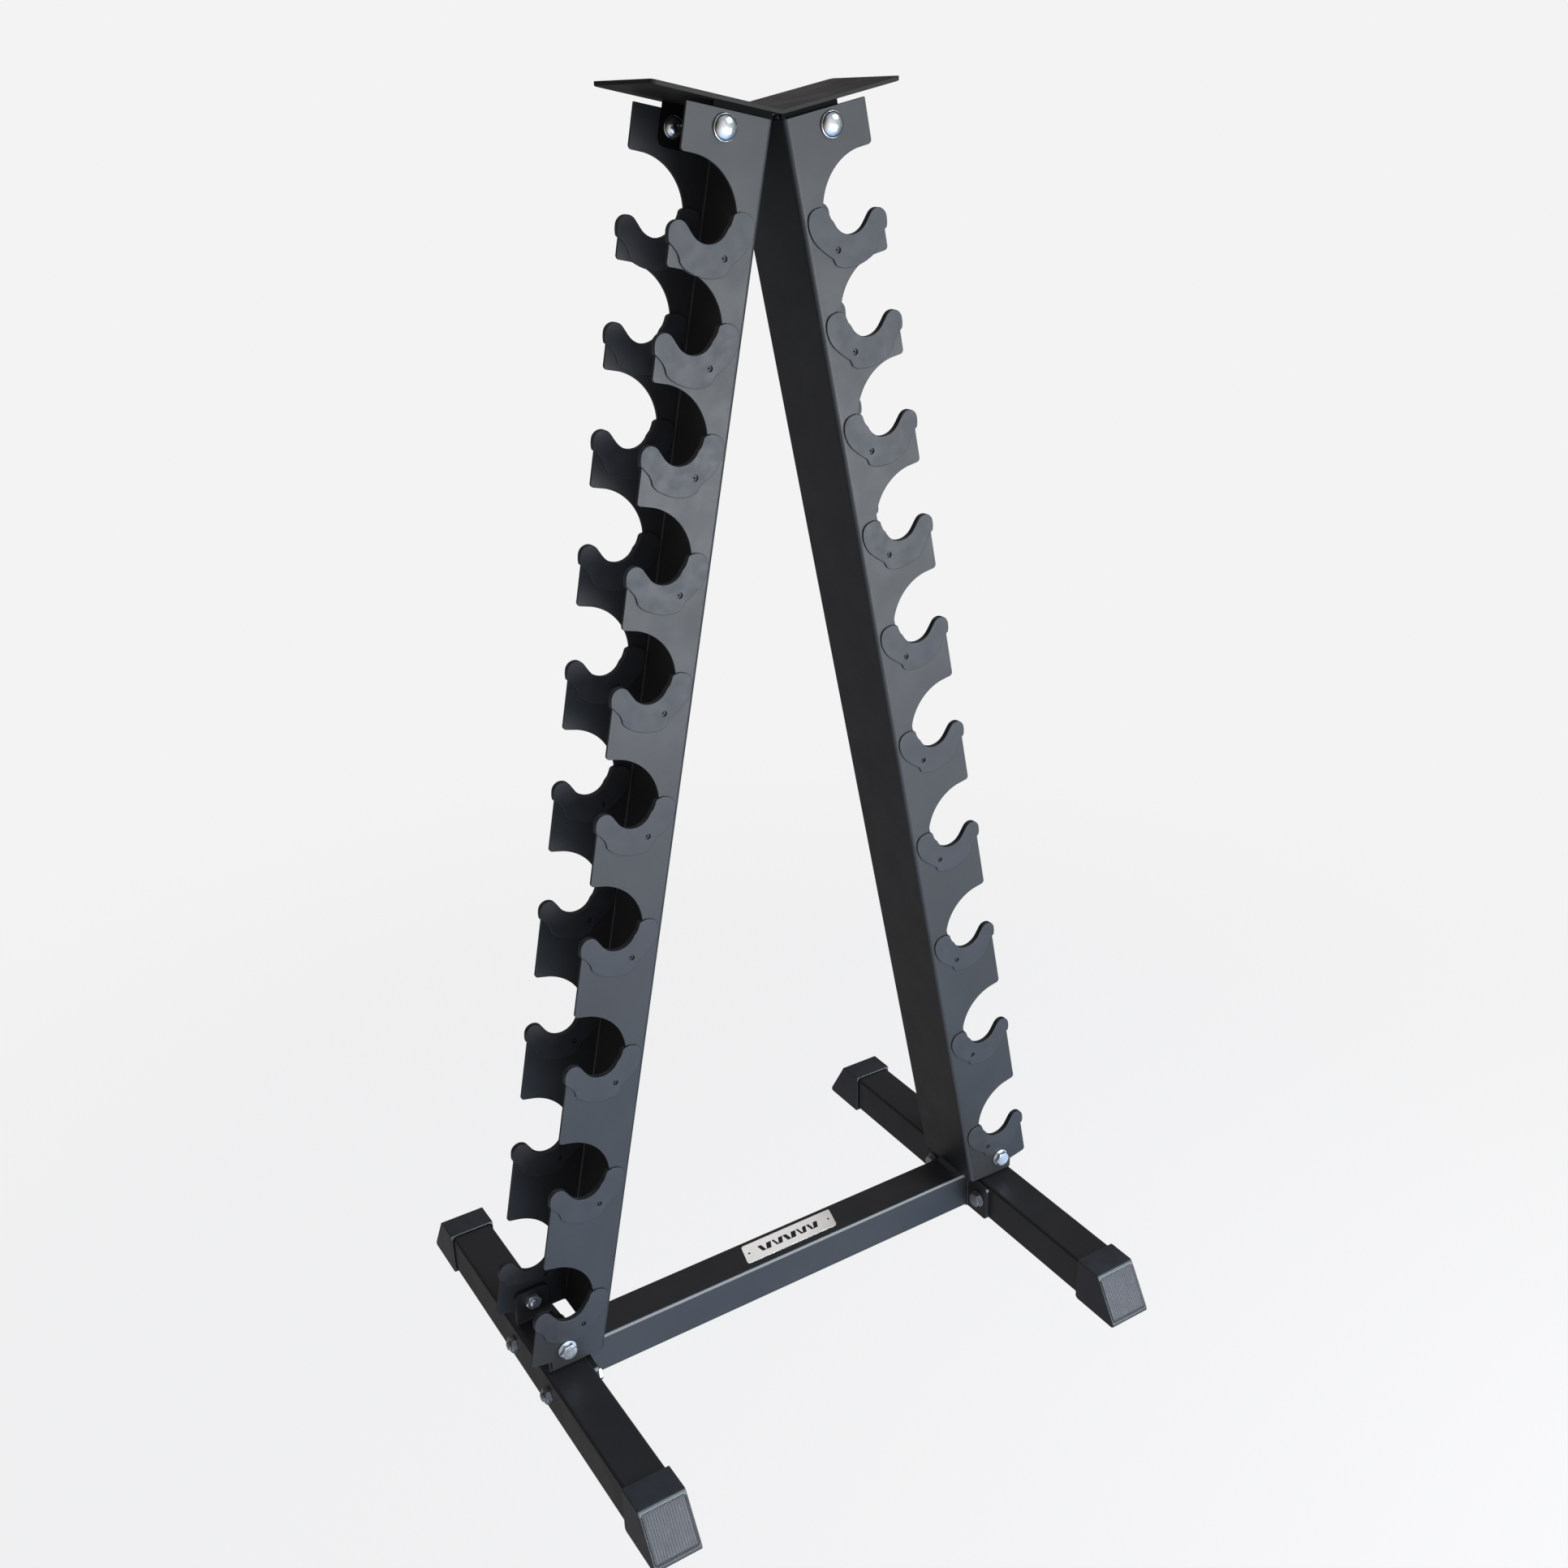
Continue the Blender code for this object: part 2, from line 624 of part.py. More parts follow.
def build_bolts(chrome, zinc, home):
    """Fasteners: domed bolt and domed nut at the top, hex bolt and nut at the bottom."""
    seat = CHANNEL_DEPTH / 2 + FIT
    inner = INNER_FACE - EAR_THICK - FIT
    count = 12
    for side, tag in ((1, "right"), (-1, "left")):
        for face, end in ((-1, "front"), (1, "rear")):
            rings = [
                (circle(0.0030, count), face * (inner - 0.0071)),
                (circle(0.0058, count), face * (inner - 0.0057)),
                (circle(0.0088, count), face * (inner - 0.0038)),
                (circle(0.0104, count), face * (inner - 0.0016)),
                (circle(0.0104, count), face * inner),
                (circle(TOP_SHANK, count), face * inner),
                (circle(TOP_SHANK, count), face * seat),
                (circle(0.0120, count), face * seat),
                (circle(0.0120, count), face * (seat + 0.0016)),
                (circle(0.0104, count), face * (seat + 0.0038)),
                (circle(0.0067, count), face * (seat + 0.0058)),
            ]
            name = f"top_bolt_{tag}_{end}"
            bolt = ring_stack(rings, name, chrome, home, face * (seat + 0.0072))
            x, z = world_point(*TOP_BOLT)
            bolt.location = (side * x, 0.0, z)
    for side, tag in ((1, "right"), (-1, "left")):
        for face, end in ((-1, "front"), (1, "rear")):
            rings = [
                (circle(LOW_SHANK - 0.0008, count), face * (inner - 0.0105)),
                (circle(LOW_SHANK, count), face * (inner - 0.0097)),
                (circle(LOW_SHANK, count), face * (inner - 0.0080)),
                (hexagon(0.017, count), face * (inner - 0.0080)),
                (hexagon(0.017, count), face * inner),
                (circle(LOW_SHANK, count), face * inner),
                (circle(LOW_SHANK, count), face * seat),
                (circle(0.0108, count), face * seat),
                (circle(0.0108, count), face * (seat + 0.0018)),
                (hexagon(0.017, count), face * (seat + 0.0018)),
                (hexagon(0.017, count), face * (seat + 0.0068)),
                (circle(0.0078, count), face * (seat + 0.0078)),
            ]
            bolt = ring_stack(rings, f"low_bolt_{tag}_{end}", zinc, home)
            x, z = world_point(*LOW_BOLT)
            bolt.location = (side * x, 0.0, z)


def build_plaque(finish, home):
    """Blank information plate with slanted ends, stuck on the crossbar's top face."""
    mesh = bmesh.new()
    bmesh.ops.create_cube(mesh, size=1.0)
    for vertex in mesh.verts:
        vertex.co.x *= PLAQUE_SIZE[0]
        vertex.co.y *= PLAQUE_SIZE[1]
        vertex.co.x += PLAQUE_LEAN * vertex.co.y
        vertex.co.z *= PLAQUE_SIZE[2]
    plaque = object_of(mesh, "info_plate", finish, home)
    height = SOLE + TUBE + FIT + PLAQUE_SIZE[2] / 2
    plaque.location = (PLAQUE_AT[0], PLAQUE_AT[1], height)


clear_scene()
RACK = collection("dumbbell_rack")
CUTTERS = collection("cutters")
PAINT = material("black_powder_coat", (0.030, 0.032, 0.035), 0.45)
LINER = material("liner_plastic", (0.036, 0.038, 0.042), 0.55)
CAP = material("cap_plastic", (0.040, 0.043, 0.050), 0.60)
CHROME = material("chrome_plate", (0.75, 0.75, 0.74), 0.12, 1.0)
ZINC = material("zinc_plate", (0.62, 0.63, 0.62), 0.30, 1.0)
SILVER = material("silver_label", (0.52, 0.53, 0.54), 0.35, 0.6)

build_uprights(PAINT, RACK)
build_liners(LINER, RACK)
build_top_plate(PAINT, RACK)
build_feet(PAINT, RACK)
build_crossbar(PAINT, RACK)
build_caps(CAP, RACK)
build_bolts(CHROME, ZINC, RACK)
build_plaque(SILVER, RACK)
for leftover in list(CUTTERS.objects):
    bpy.data.objects.remove(leftover)
bpy.data.collections.remove(CUTTERS)
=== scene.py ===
"""Studio scene of the upright ten-pair dumbbell rack.

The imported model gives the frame. Every visible part is then made again at a finer
level: bevelled sheet and tube, moulded liners, ribbed end caps, welds and fasteners.
Lengths are in metres, +Z is up and the front of the rack faces -Y.
"""

import logging
import math
from collections.abc import Iterable, Mapping, Sequence
from dataclasses import dataclass, field
from enum import Enum

import bmesh
import bpy
from mathutils import Matrix, Vector


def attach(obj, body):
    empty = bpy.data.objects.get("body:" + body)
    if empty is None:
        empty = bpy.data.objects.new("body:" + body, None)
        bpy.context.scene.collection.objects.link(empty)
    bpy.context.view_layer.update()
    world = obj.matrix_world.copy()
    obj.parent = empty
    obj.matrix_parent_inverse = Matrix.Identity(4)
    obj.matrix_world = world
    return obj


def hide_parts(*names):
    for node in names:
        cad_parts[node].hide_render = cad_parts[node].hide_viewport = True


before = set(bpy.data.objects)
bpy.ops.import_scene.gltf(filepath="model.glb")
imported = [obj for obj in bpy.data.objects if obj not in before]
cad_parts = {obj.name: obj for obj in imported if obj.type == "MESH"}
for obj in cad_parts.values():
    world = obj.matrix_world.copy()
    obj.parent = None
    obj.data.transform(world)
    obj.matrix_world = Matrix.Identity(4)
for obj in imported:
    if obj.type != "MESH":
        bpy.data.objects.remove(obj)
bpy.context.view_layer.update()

ROOT = "root"
LOG = logging.getLogger("dumbbell_rack")

SLOT_COAT = "black_powder_coat"
SLOT_LINER = "liner_plastic"
SLOT_CAP = "cap_plastic"
SLOT_CHROME = "chrome_plate"
SLOT_ZINC = "zinc_plate"
SLOT_LABEL = "silver_label"

# Mesh clean-up: how close doubled vertices lie, and how flat a flat face is.
MERGE_DISTANCE = 2e-6
FLAT_ANGLE = math.radians(0.05)

# The middle band of a noise pattern, which holds nearly all of its values.
NOISE_BAND = {"From Min": 0.3, "From Max": 0.7}

Point = tuple[float, float]
Ring = tuple[Sequence[Point], float]
Colour = tuple[float, float, float, float]
Mesh = bpy.types.Mesh
Object = bpy.types.Object
NodeTree = bpy.types.NodeTree
Socket = bpy.types.NodeSocket
Material = bpy.types.Material
Vertices = Sequence[bmesh.types.BMVert]


class Side(Enum):
    """Left or right half of the rack, as the sign of X."""

    LEFT = -1
    RIGHT = 1


class End(Enum):
    """Front or rear of the rack, as the sign of Y."""

    FRONT = -1
    REAR = 1


class Along(Enum):
    """Axis that a flat outline is pulled along."""

    X = "x"
    Y = "y"
    Z = "z"

    def place(self, u: float, v: float, depth: float) -> Vector:
        """Turns outline coordinates and a depth into a place in space.

        Args:
            u: First outline coordinate.
            v: Second outline coordinate.
            depth: Distance along the axis.

        Returns:
            The place.
        """
        if self is Along.X:
            return Vector((depth, u, v))
        if self is Along.Y:
            return Vector((u, depth, v))
        return Vector((u, v, depth))


# ---------------------------------------------------------------- plain helpers


def linear(hex_colour: str) -> Colour:
    """Turns an sRGB hex colour into linear light.

    Args:
        hex_colour: Six hex digits, with or without a leading #.

    Returns:
        Red, green, blue and an alpha of one.
    """
    digits = hex_colour.lstrip("#")
    channels = []
    for start in (0, 2, 4):
        value = int(digits[start : start + 2], 16) / 255
        channels.append(value / 12.92 if value <= 0.04045 else ((value + 0.055) / 1.055) ** 2.4)
    return (channels[0], channels[1], channels[2], 1.0)


def per_metre(millimetres: float) -> float:
    """Pattern scale whose features are the given number of millimetres across."""
    return 1000.0 / millimetres


def add_node(
    tree: NodeTree,
    kind: str,
    inputs: Mapping[str | int, object] | None = None,
    **settings: object,
) -> bpy.types.Node:
    """Adds one node to a tree, with its settings, values and links.

    Args:
        tree: Material, world or geometry tree that gets the node.
        kind: Blender's identifier of the node type.
        inputs: Socket name or number to a value, or to the socket that feeds it.
        settings: Attributes of the node itself.

    Returns:
        The new node.
    """
    node = tree.nodes.new(kind)
    for name, value in settings.items():
        setattr(node, name, value)
    for name, value in (inputs or {}).items():
        if isinstance(value, Socket):
            tree.links.new(value, node.inputs[name])
        else:
            node.inputs[name].default_value = value
    return node


def arc(centre: Point, radius: float, start: float, end: float, steps: int) -> list[Point]:
    """Points of an arc.

    Args:
        centre: Centre of the arc.
        radius: Its radius.
        start: First angle in degrees.
        end: Last angle in degrees.
        steps: Number of chords; both end points are included.

    Returns:
        The points in order.
    """
    points = []
    for index in range(steps + 1):
        angle = math.radians(start + (end - start) * index / steps)
        points.append((
            centre[0] + radius * math.cos(angle),
            centre[1] + radius * math.sin(angle),
        ))
    return points


def circle(radius: float, count: int) -> list[Point]:
    """Regular outline of a circle round the origin."""
    return arc((0.0, 0.0), radius, 0.0, 360.0 * (count - 1) / count, count - 1)


def hexagon(across: float, count: int, limit: float = 1.0) -> list[Point]:
    """Hexagon round the origin.

    Args:
        across: Width across flats.
        count: Number of points, a multiple of twelve.
        limit: Radius that the corners are cut back to.

    Returns:
        The outline's points.
    """
    points = []
    for index in range(count):
        angle = 2 * math.pi * index / count
        within = math.radians((math.degrees(angle) % 60.0) - 30.0)
        radius = min(across / 2 / math.cos(within), limit)
        points.append((radius * math.cos(angle), radius * math.sin(angle)))
    return points


def rounded_box(
    centre: Point, width: float, height: float, radius: float, steps: int
) -> list[Point]:
    """Rectangle with rounded corners.

    Args:
        centre: Middle of the rectangle.
        width: Full size along the outline's first axis.
        height: Full size along its second axis.
        radius: Corner radius.
        steps: Chords in each corner.

    Returns:
        The outline, counter-clockwise.
    """
    points = []
    for index, (sx, sy) in enumerate(((1, 1), (-1, 1), (-1, -1), (1, -1))):
        corner = (centre[0] + sx * (width / 2 - radius), centre[1] + sy * (height / 2 - radius))
        points += arc(corner, radius, 90.0 * index, 90.0 * index + 90.0, steps)
    return points


def eased(points: Sequence[Point], steps: int) -> list[Point]:
    """Smooth curve through a chain of points.

    Args:
        points: The chain; its first and last points are kept.
        steps: Chords between neighbouring points.

    Returns:
        The finer chain.
    """
    chain = [points[0], *points, points[-1]]
    made = []
    for a, b, c, d in zip(chain, chain[1:], chain[2:], chain[3:]):
        for index in range(steps):
            t = index / steps
            weights = (
                (-t + 2 * t**2 - t**3) / 2,
                (2 - 5 * t**2 + 3 * t**3) / 2,
                (t + 4 * t**2 - 3 * t**3) / 2,
                (t**3 - t**2) / 2,
            )
            made.append(tuple(
                sum(w * p[axis] for w, p in zip(weights, (a, b, c, d))) for axis in (0, 1)
            ))
    made.append(tuple(points[-1]))
    return made


def signed_area(outline: Sequence[Point]) -> float:
    """Area of a closed outline, positive when it runs counter-clockwise."""
    following = [*outline[1:], outline[0]]
    return sum(x * v - u * y for (x, y), (u, v) in zip(outline, following)) / 2


# ---------------------------------------------------------------- mesh making


class Blank:
    """A mesh while it is being made."""

    def __init__(self) -> None:
        """Starts with nothing in it."""
        self.mesh = bmesh.new()

    def _skin(self, lower: Vertices, upper: Vertices) -> list:
        """Joins two matching rings of vertices with four-sided faces.

        Args:
            lower: First ring.
            upper: Second ring, vertex for vertex.

        Returns:
            The new faces.
        """
        faces = []
        for index in range(len(lower)):
            after = (index + 1) % len(lower)
            faces.append(self.mesh.faces.new(
                (lower[index], lower[after], upper[after], upper[index])
            ))
        return faces

    def _rings(self, series: Iterable[Ring], along: Along) -> list[list[bmesh.types.BMVert]]:
        """Makes the vertices of each outline at its depth.

        Args:
            series: Outlines and their depths.
            along: Axis that the depths run on.

        Returns:
            One list of vertices per outline.
        """
        return [
            [self.mesh.verts.new(along.place(u, v, depth)) for u, v in outline]
            for outline, depth in series
        ]

    def prism(self, outline: Sequence[Point], low: float, high: float, along: Along) -> "Blank":
        """Adds a closed prism.

        Args:
            outline: Its section.
            low: First depth.
            high: Second depth.
            along: Axis that the depth runs on.

        Returns:
            This blank.
        """
        ring = list(outline) if signed_area(outline) > 0 else list(reversed(outline))
        lower, upper = self._rings(((ring, low), (ring, high)), along)
        faces = self._skin(lower, upper)
        faces += [self.mesh.faces.new(lower), self.mesh.faces.new(upper)]
        bmesh.ops.recalc_face_normals(self.mesh, faces=faces)
        return self

    def loop(self, series: Iterable[Ring], along: Along) -> "Blank":
        """Adds a surface that runs through matching outlines and back to the first.

        Args:
            series: Outlines and their depths.
            along: Axis that the depths run on.

        Returns:
            This blank.
        """
        rings = self._rings(series, along)
        faces = []
        for ring, following in zip(rings, rings[1:] + rings[:1]):
            faces += self._skin(ring, following)
        bmesh.ops.recalc_face_normals(self.mesh, faces=faces)
        return self

    def bowl(self, series: Iterable[Ring], along: Along) -> "Blank":
        """Adds a flat floor that runs through the outlines into a wall, open above.

        Args:
            series: Outlines and their depths.
            along: Axis that the depths run on.

        Returns:
            This blank.
        """
        rings = self._rings(series, along)
        self.mesh.faces.new(rings[0])
        for ring, following in zip(rings, rings[1:]):
            self._skin(ring, following)
        return self

    def stack(self, series: Iterable[Ring], along: Along) -> "Blank":
        """Adds a body through matching outlines, closed at both ends.

        Args:
            series: Outlines and their depths.
            along: Axis that the depths run on.

        Returns:
            This blank.
        """
        rings = self._rings(series, along)
        faces = [self.mesh.faces.new(rings[0]), self.mesh.faces.new(rings[-1])]
        for ring, following in zip(rings, rings[1:]):
            faces += self._skin(ring, following)
        bmesh.ops.recalc_face_normals(self.mesh, faces=faces)
        return self

    def data(self, name: str) -> Mesh:
        """Stores the result as mesh data and closes the blank.

        Args:
            name: Name of the mesh data.

        Returns:
            The mesh data.
        """
        made = bpy.data.meshes.new(name)
        self.mesh.to_mesh(made)
        self.mesh.free()
        return made


def linked(name: str, data: bpy.types.ID) -> Object:
    """Object in the scene that shows the given data.

    Args:
        name: Name of the object.
        data: Mesh, light or camera data.

    Returns:
        The new object.
    """
    obj = bpy.data.objects.new(name, data)
    bpy.context.scene.collection.objects.link(obj)
    return obj


def held(data: Mesh) -> Object:
    """Puts mesh data on the bench as a helper object, to be worked on.

    Args:
        data: Mesh data to hold.

    Returns:
        The helper object.
    """
    return linked(data.name, data)


def worked(obj: Object, *helpers: Object) -> Mesh:
    """Takes an object's result off the bench as plain mesh data.

    Args:
        obj: Object whose modifiers are applied.
        helpers: Other bench objects that aren't needed any more.

    Returns:
        The evaluated mesh.
    """
    graph = bpy.context.evaluated_depsgraph_get()
    graph.update()
    made = bpy.data.meshes.new_from_object(obj.evaluated_get(graph))
    made.name = obj.name
    obj.modifiers.clear()
    for helper in (obj, *helpers):
        bpy.data.objects.remove(helper)
    return made


def cleaned(data: Mesh) -> Mesh:
    """Merges doubled vertices and dissolves edges inside flat faces.

    Args:
        data: Mesh to clean, in place.

    Returns:
        The same mesh.
    """
    mesh = bmesh.new()
    mesh.from_mesh(data)
    bmesh.ops.remove_doubles(mesh, verts=mesh.verts, dist=MERGE_DISTANCE)
    bmesh.ops.dissolve_limit(
        mesh, angle_limit=FLAT_ANGLE, verts=mesh.verts, edges=mesh.edges
    )
    mesh.to_mesh(data)
    mesh.free()
    return data


def combined(data: Mesh, tool: Mesh, operation: str) -> Mesh:
    """Cuts, joins or intersects two bodies.

    Args:
        data: Body that is kept.
        tool: Second body.
        operation: DIFFERENCE, UNION or INTERSECT.

    Returns:
        The resulting mesh.
    """
    obj, helper = held(data), held(tool)
    step = obj.modifiers.new("join", "BOOLEAN")
    step.operation = operation
    step.solver = "EXACT"
    step.object = helper
    return cleaned(worked(obj, helper))


def gathered(name: str, sources: Iterable[Mesh]) -> Mesh:
    """Copies several meshes into one.

    Args:
        name: Name of the result.
        sources: Meshes to copy.

    Returns:
        One mesh with all of them.
    """
    mesh = bmesh.new()
    for source in sources:
        mesh.from_mesh(source)
    made = bpy.data.meshes.new(name)
    mesh.to_mesh(made)
    mesh.free()
    return made


def reflected(data: Mesh, name: str, axis: int) -> Mesh:
    """Copy of a mesh reflected across the plane through the origin.

    Args:
        data: Mesh to copy.
        name: Name of the copy.
        axis: 0 to change the sign of X, 1 for Y.

    Returns:
        The reflected mesh, facing outwards.
    """
    mesh = bmesh.new()
    mesh.from_mesh(data)
    for vertex in mesh.verts:
        vertex.co[axis] = -vertex.co[axis]
    bmesh.ops.reverse_faces(mesh, faces=mesh.faces)
    made = bpy.data.meshes.new(name)
    mesh.to_mesh(made)
    mesh.free()
    return made


# ---------------------------------------------------------------- geometry trees


@dataclass
class Tree:
    """A Geometry Nodes tree with named inputs."""

    name: str
    sockets: dict[str, str]
    group: NodeTree = field(init=False)
    source: bpy.types.Node = field(init=False)

    def __post_init__(self) -> None:
        """Makes the tree's interface."""
        self.group = bpy.data.node_groups.new(self.name, "GeometryNodeTree")
        for name, kind in self.sockets.items():
            self.group.interface.new_socket(name, in_out="INPUT", socket_type=kind)
        self.group.interface.new_socket("Mesh", in_out="OUTPUT", socket_type="NodeSocketGeometry")
        self.source = add_node(self.group, "NodeGroupInput")

    def close(self, instances: Socket) -> None:
        """Ends the tree in real, dressed geometry.

        Args:
            instances: Socket with the geometry to finish.
        """
        real = add_node(self.group, "GeometryNodeRealizeInstances", {0: instances})
        dressed = add_node(
            self.group,
            "GeometryNodeSetMaterial",
            {"Geometry": real.outputs[0], "Material": self.source.outputs["Finish"]},
        )
        add_node(self.group, "NodeGroupOutput", {"Mesh": dressed.outputs["Geometry"]})

    def run(
        self,
        path: Mesh,
        values: Mapping[str, object],
        *helpers: Object,
    ) -> Mesh:
        """Runs the tree on a mesh.

        Args:
            path: Mesh that feeds the tree's first input.
            values: Input name to value for the other inputs.
            helpers: Bench objects that only the tree needs.

        Returns:
            The tree's result as plain mesh data.
        """
        obj = held(path)
        step = obj.modifiers.new(self.name, "NODES")
        step.node_group = self.group
        for item in self.group.interface.items_tree:
            if item.in_out == "INPUT" and item.name in values:
                step[item.identifier] = values[item.name]
        return worked(obj, *helpers)


def copies_tree() -> Tree:
    """Tree that sets a shape on every point, turned by the point's own angles.

    Returns:
        The tree, with inputs Points, Shape and Finish.
    """
    tree = Tree("copies_on_points", {
        "Points": "NodeSocketGeometry",
        "Shape": "NodeSocketObject",
        "Finish": "NodeSocketMaterial",
    })
    shape = add_node(
        tree.group, "GeometryNodeObjectInfo",
        {"Object": tree.source.outputs["Shape"], "As Instance": True},
    )
    turn = add_node(
        tree.group, "GeometryNodeInputNamedAttribute", {"Name": "turn"},
        data_type="FLOAT_VECTOR",
    )
    angles = add_node(tree.group, "FunctionNodeEulerToRotation", {0: turn.outputs["Attribute"]})
    placed = add_node(tree.group, "GeometryNodeInstanceOnPoints", {
        "Points": tree.source.outputs["Points"],
        "Instance": shape.outputs["Geometry"],
        "Rotation": angles.outputs[0],
    })
    tree.close(placed.outputs["Instances"])
    return tree


def row_cut_tree() -> Tree:
    """Tree that cuts the same notch out of a blank at every point of a second mesh.

    Returns:
        The tree, with inputs Blank, Notches, Cutter and Finish.
    """
    tree = Tree("notch_row", {
        "Blank": "NodeSocketGeometry",
        "Notches": "NodeSocketObject",
        "Cutter": "NodeSocketObject",
        "Finish": "NodeSocketMaterial",
    })
    rows = add_node(
        tree.group, "GeometryNodeObjectInfo", {"Object": tree.source.outputs["Notches"]}
    )
    shape = add_node(
        tree.group, "GeometryNodeObjectInfo",
        {"Object": tree.source.outputs["Cutter"], "As Instance": True},
    )
    placed = add_node(tree.group, "GeometryNodeInstanceOnPoints", {
        "Points": rows.outputs["Geometry"],
        "Instance": shape.outputs["Geometry"],
    })
    cutters = add_node(tree.group, "GeometryNodeRealizeInstances", {0: placed.outputs["Instances"]})
    cut = add_node(
        tree.group, "GeometryNodeMeshBoolean",
        {"Mesh 1": tree.source.outputs["Blank"], "Mesh 2": cutters.outputs[0]},
        operation="DIFFERENCE", solver="EXACT",
    )
    tree.close(cut.outputs["Mesh"])
    return tree


def rib_tree() -> Tree:
    """Tree that lays parallel half-round ribs side by side on the local XZ plane.

    Returns:
        The tree, with inputs Base, Count, Pitch, Radius, Length and Finish.
    """
    tree = Tree("rib_row", {
        "Base": "NodeSocketGeometry",
        "Count": "NodeSocketInt",
        "Pitch": "NodeSocketFloat",
        "Radius": "NodeSocketFloat",
        "Length": "NodeSocketFloat",
        "Finish": "NodeSocketMaterial",
    })
    source = tree.source.outputs
    step = add_node(tree.group, "ShaderNodeCombineXYZ", {"X": source["Pitch"]})
    line = add_node(
        tree.group, "GeometryNodeMeshLine",
        {"Count": source["Count"], "Offset": step.outputs["Vector"]},
    )
    rib = add_node(tree.group, "GeometryNodeMeshCylinder", {
        "Vertices": 32, "Radius": source["Radius"], "Depth": source["Length"],
    })
    placed = add_node(tree.group, "GeometryNodeInstanceOnPoints", {
        "Points": line.outputs["Mesh"], "Instance": rib.outputs["Mesh"],
    })
    tree.close(placed.outputs["Instances"])
    return tree


def weld_tree() -> Tree:
    """Tree that lays overlapping beads along the edges of a mesh.

    Returns:
        The tree, with inputs Seam, Step, Radius and Finish.
    """
    tree = Tree("weld_bead", {
        "Seam": "NodeSocketGeometry",
        "Step": "NodeSocketFloat",
        "Radius": "NodeSocketFloat",
        "Finish": "NodeSocketMaterial",
    })
    source = tree.source.outputs
    curve = add_node(tree.group, "GeometryNodeMeshToCurve", {"Mesh": source["Seam"]})
    even = add_node(
        tree.group, "GeometryNodeResampleCurve",
        {"Curve": curve.outputs["Curve"], "Length": source["Step"]}, mode="LENGTH",
    )
    bead = add_node(
        tree.group, "GeometryNodeMeshUVSphere",
        {"Segments": 8, "Rings": 5, "Radius": source["Radius"]},
    )
    placed = add_node(tree.group, "GeometryNodeInstanceOnPoints", {
        "Points": even.outputs["Curve"], "Instance": bead.outputs["Mesh"],
    })
    tree.close(placed.outputs["Instances"])
    return tree


# ---------------------------------------------------------------- finishes


@dataclass(frozen=True)
class Finish:
    """What every surface finish has: a name, a shader and surface grain."""

    name: str
    slot: str

    def start(self) -> tuple[Material, NodeTree, bpy.types.Node]:
        """Makes an empty material with its shader and output joined.

        Returns:
            The material, its tree and its shader node.
        """
        made = bpy.data.materials.new(self.name)
        made.use_nodes = True
        tree = made.node_tree
        tree.nodes.clear()
        shader = add_node(tree, "ShaderNodeBsdfPrincipled")
        add_node(tree, "ShaderNodeOutputMaterial", {"Surface": shader.outputs["BSDF"]})
        return made, tree, shader

    def tone(
        self,
        tree: NodeTree,
        where: Socket,
        size: float,
        low: Colour,
        high: Colour,
    ) -> Socket:
        """Slow drift between two colours.

        Args:
            tree: Material tree.
            where: Socket with the surface position.
            size: Patch size in millimetres.
            low: First colour.
            high: Second colour.

        Returns:
            The mixed colour's socket.
        """
        cloud = add_node(tree, "ShaderNodeTexNoise", {
            "Vector": where, "Scale": per_metre(size), "Detail": 3.0, "Roughness": 0.55,
        })
        spread = add_node(tree, "ShaderNodeMapRange", {
            "Value": cloud.outputs["Fac"], "From Min": 0.35, "From Max": 0.65,
        })
        mix = add_node(
            tree, "ShaderNodeMix",
            {"Factor": spread.outputs["Result"], 6: low, 7: high}, data_type="RGBA",
        )
        return mix.outputs[2]


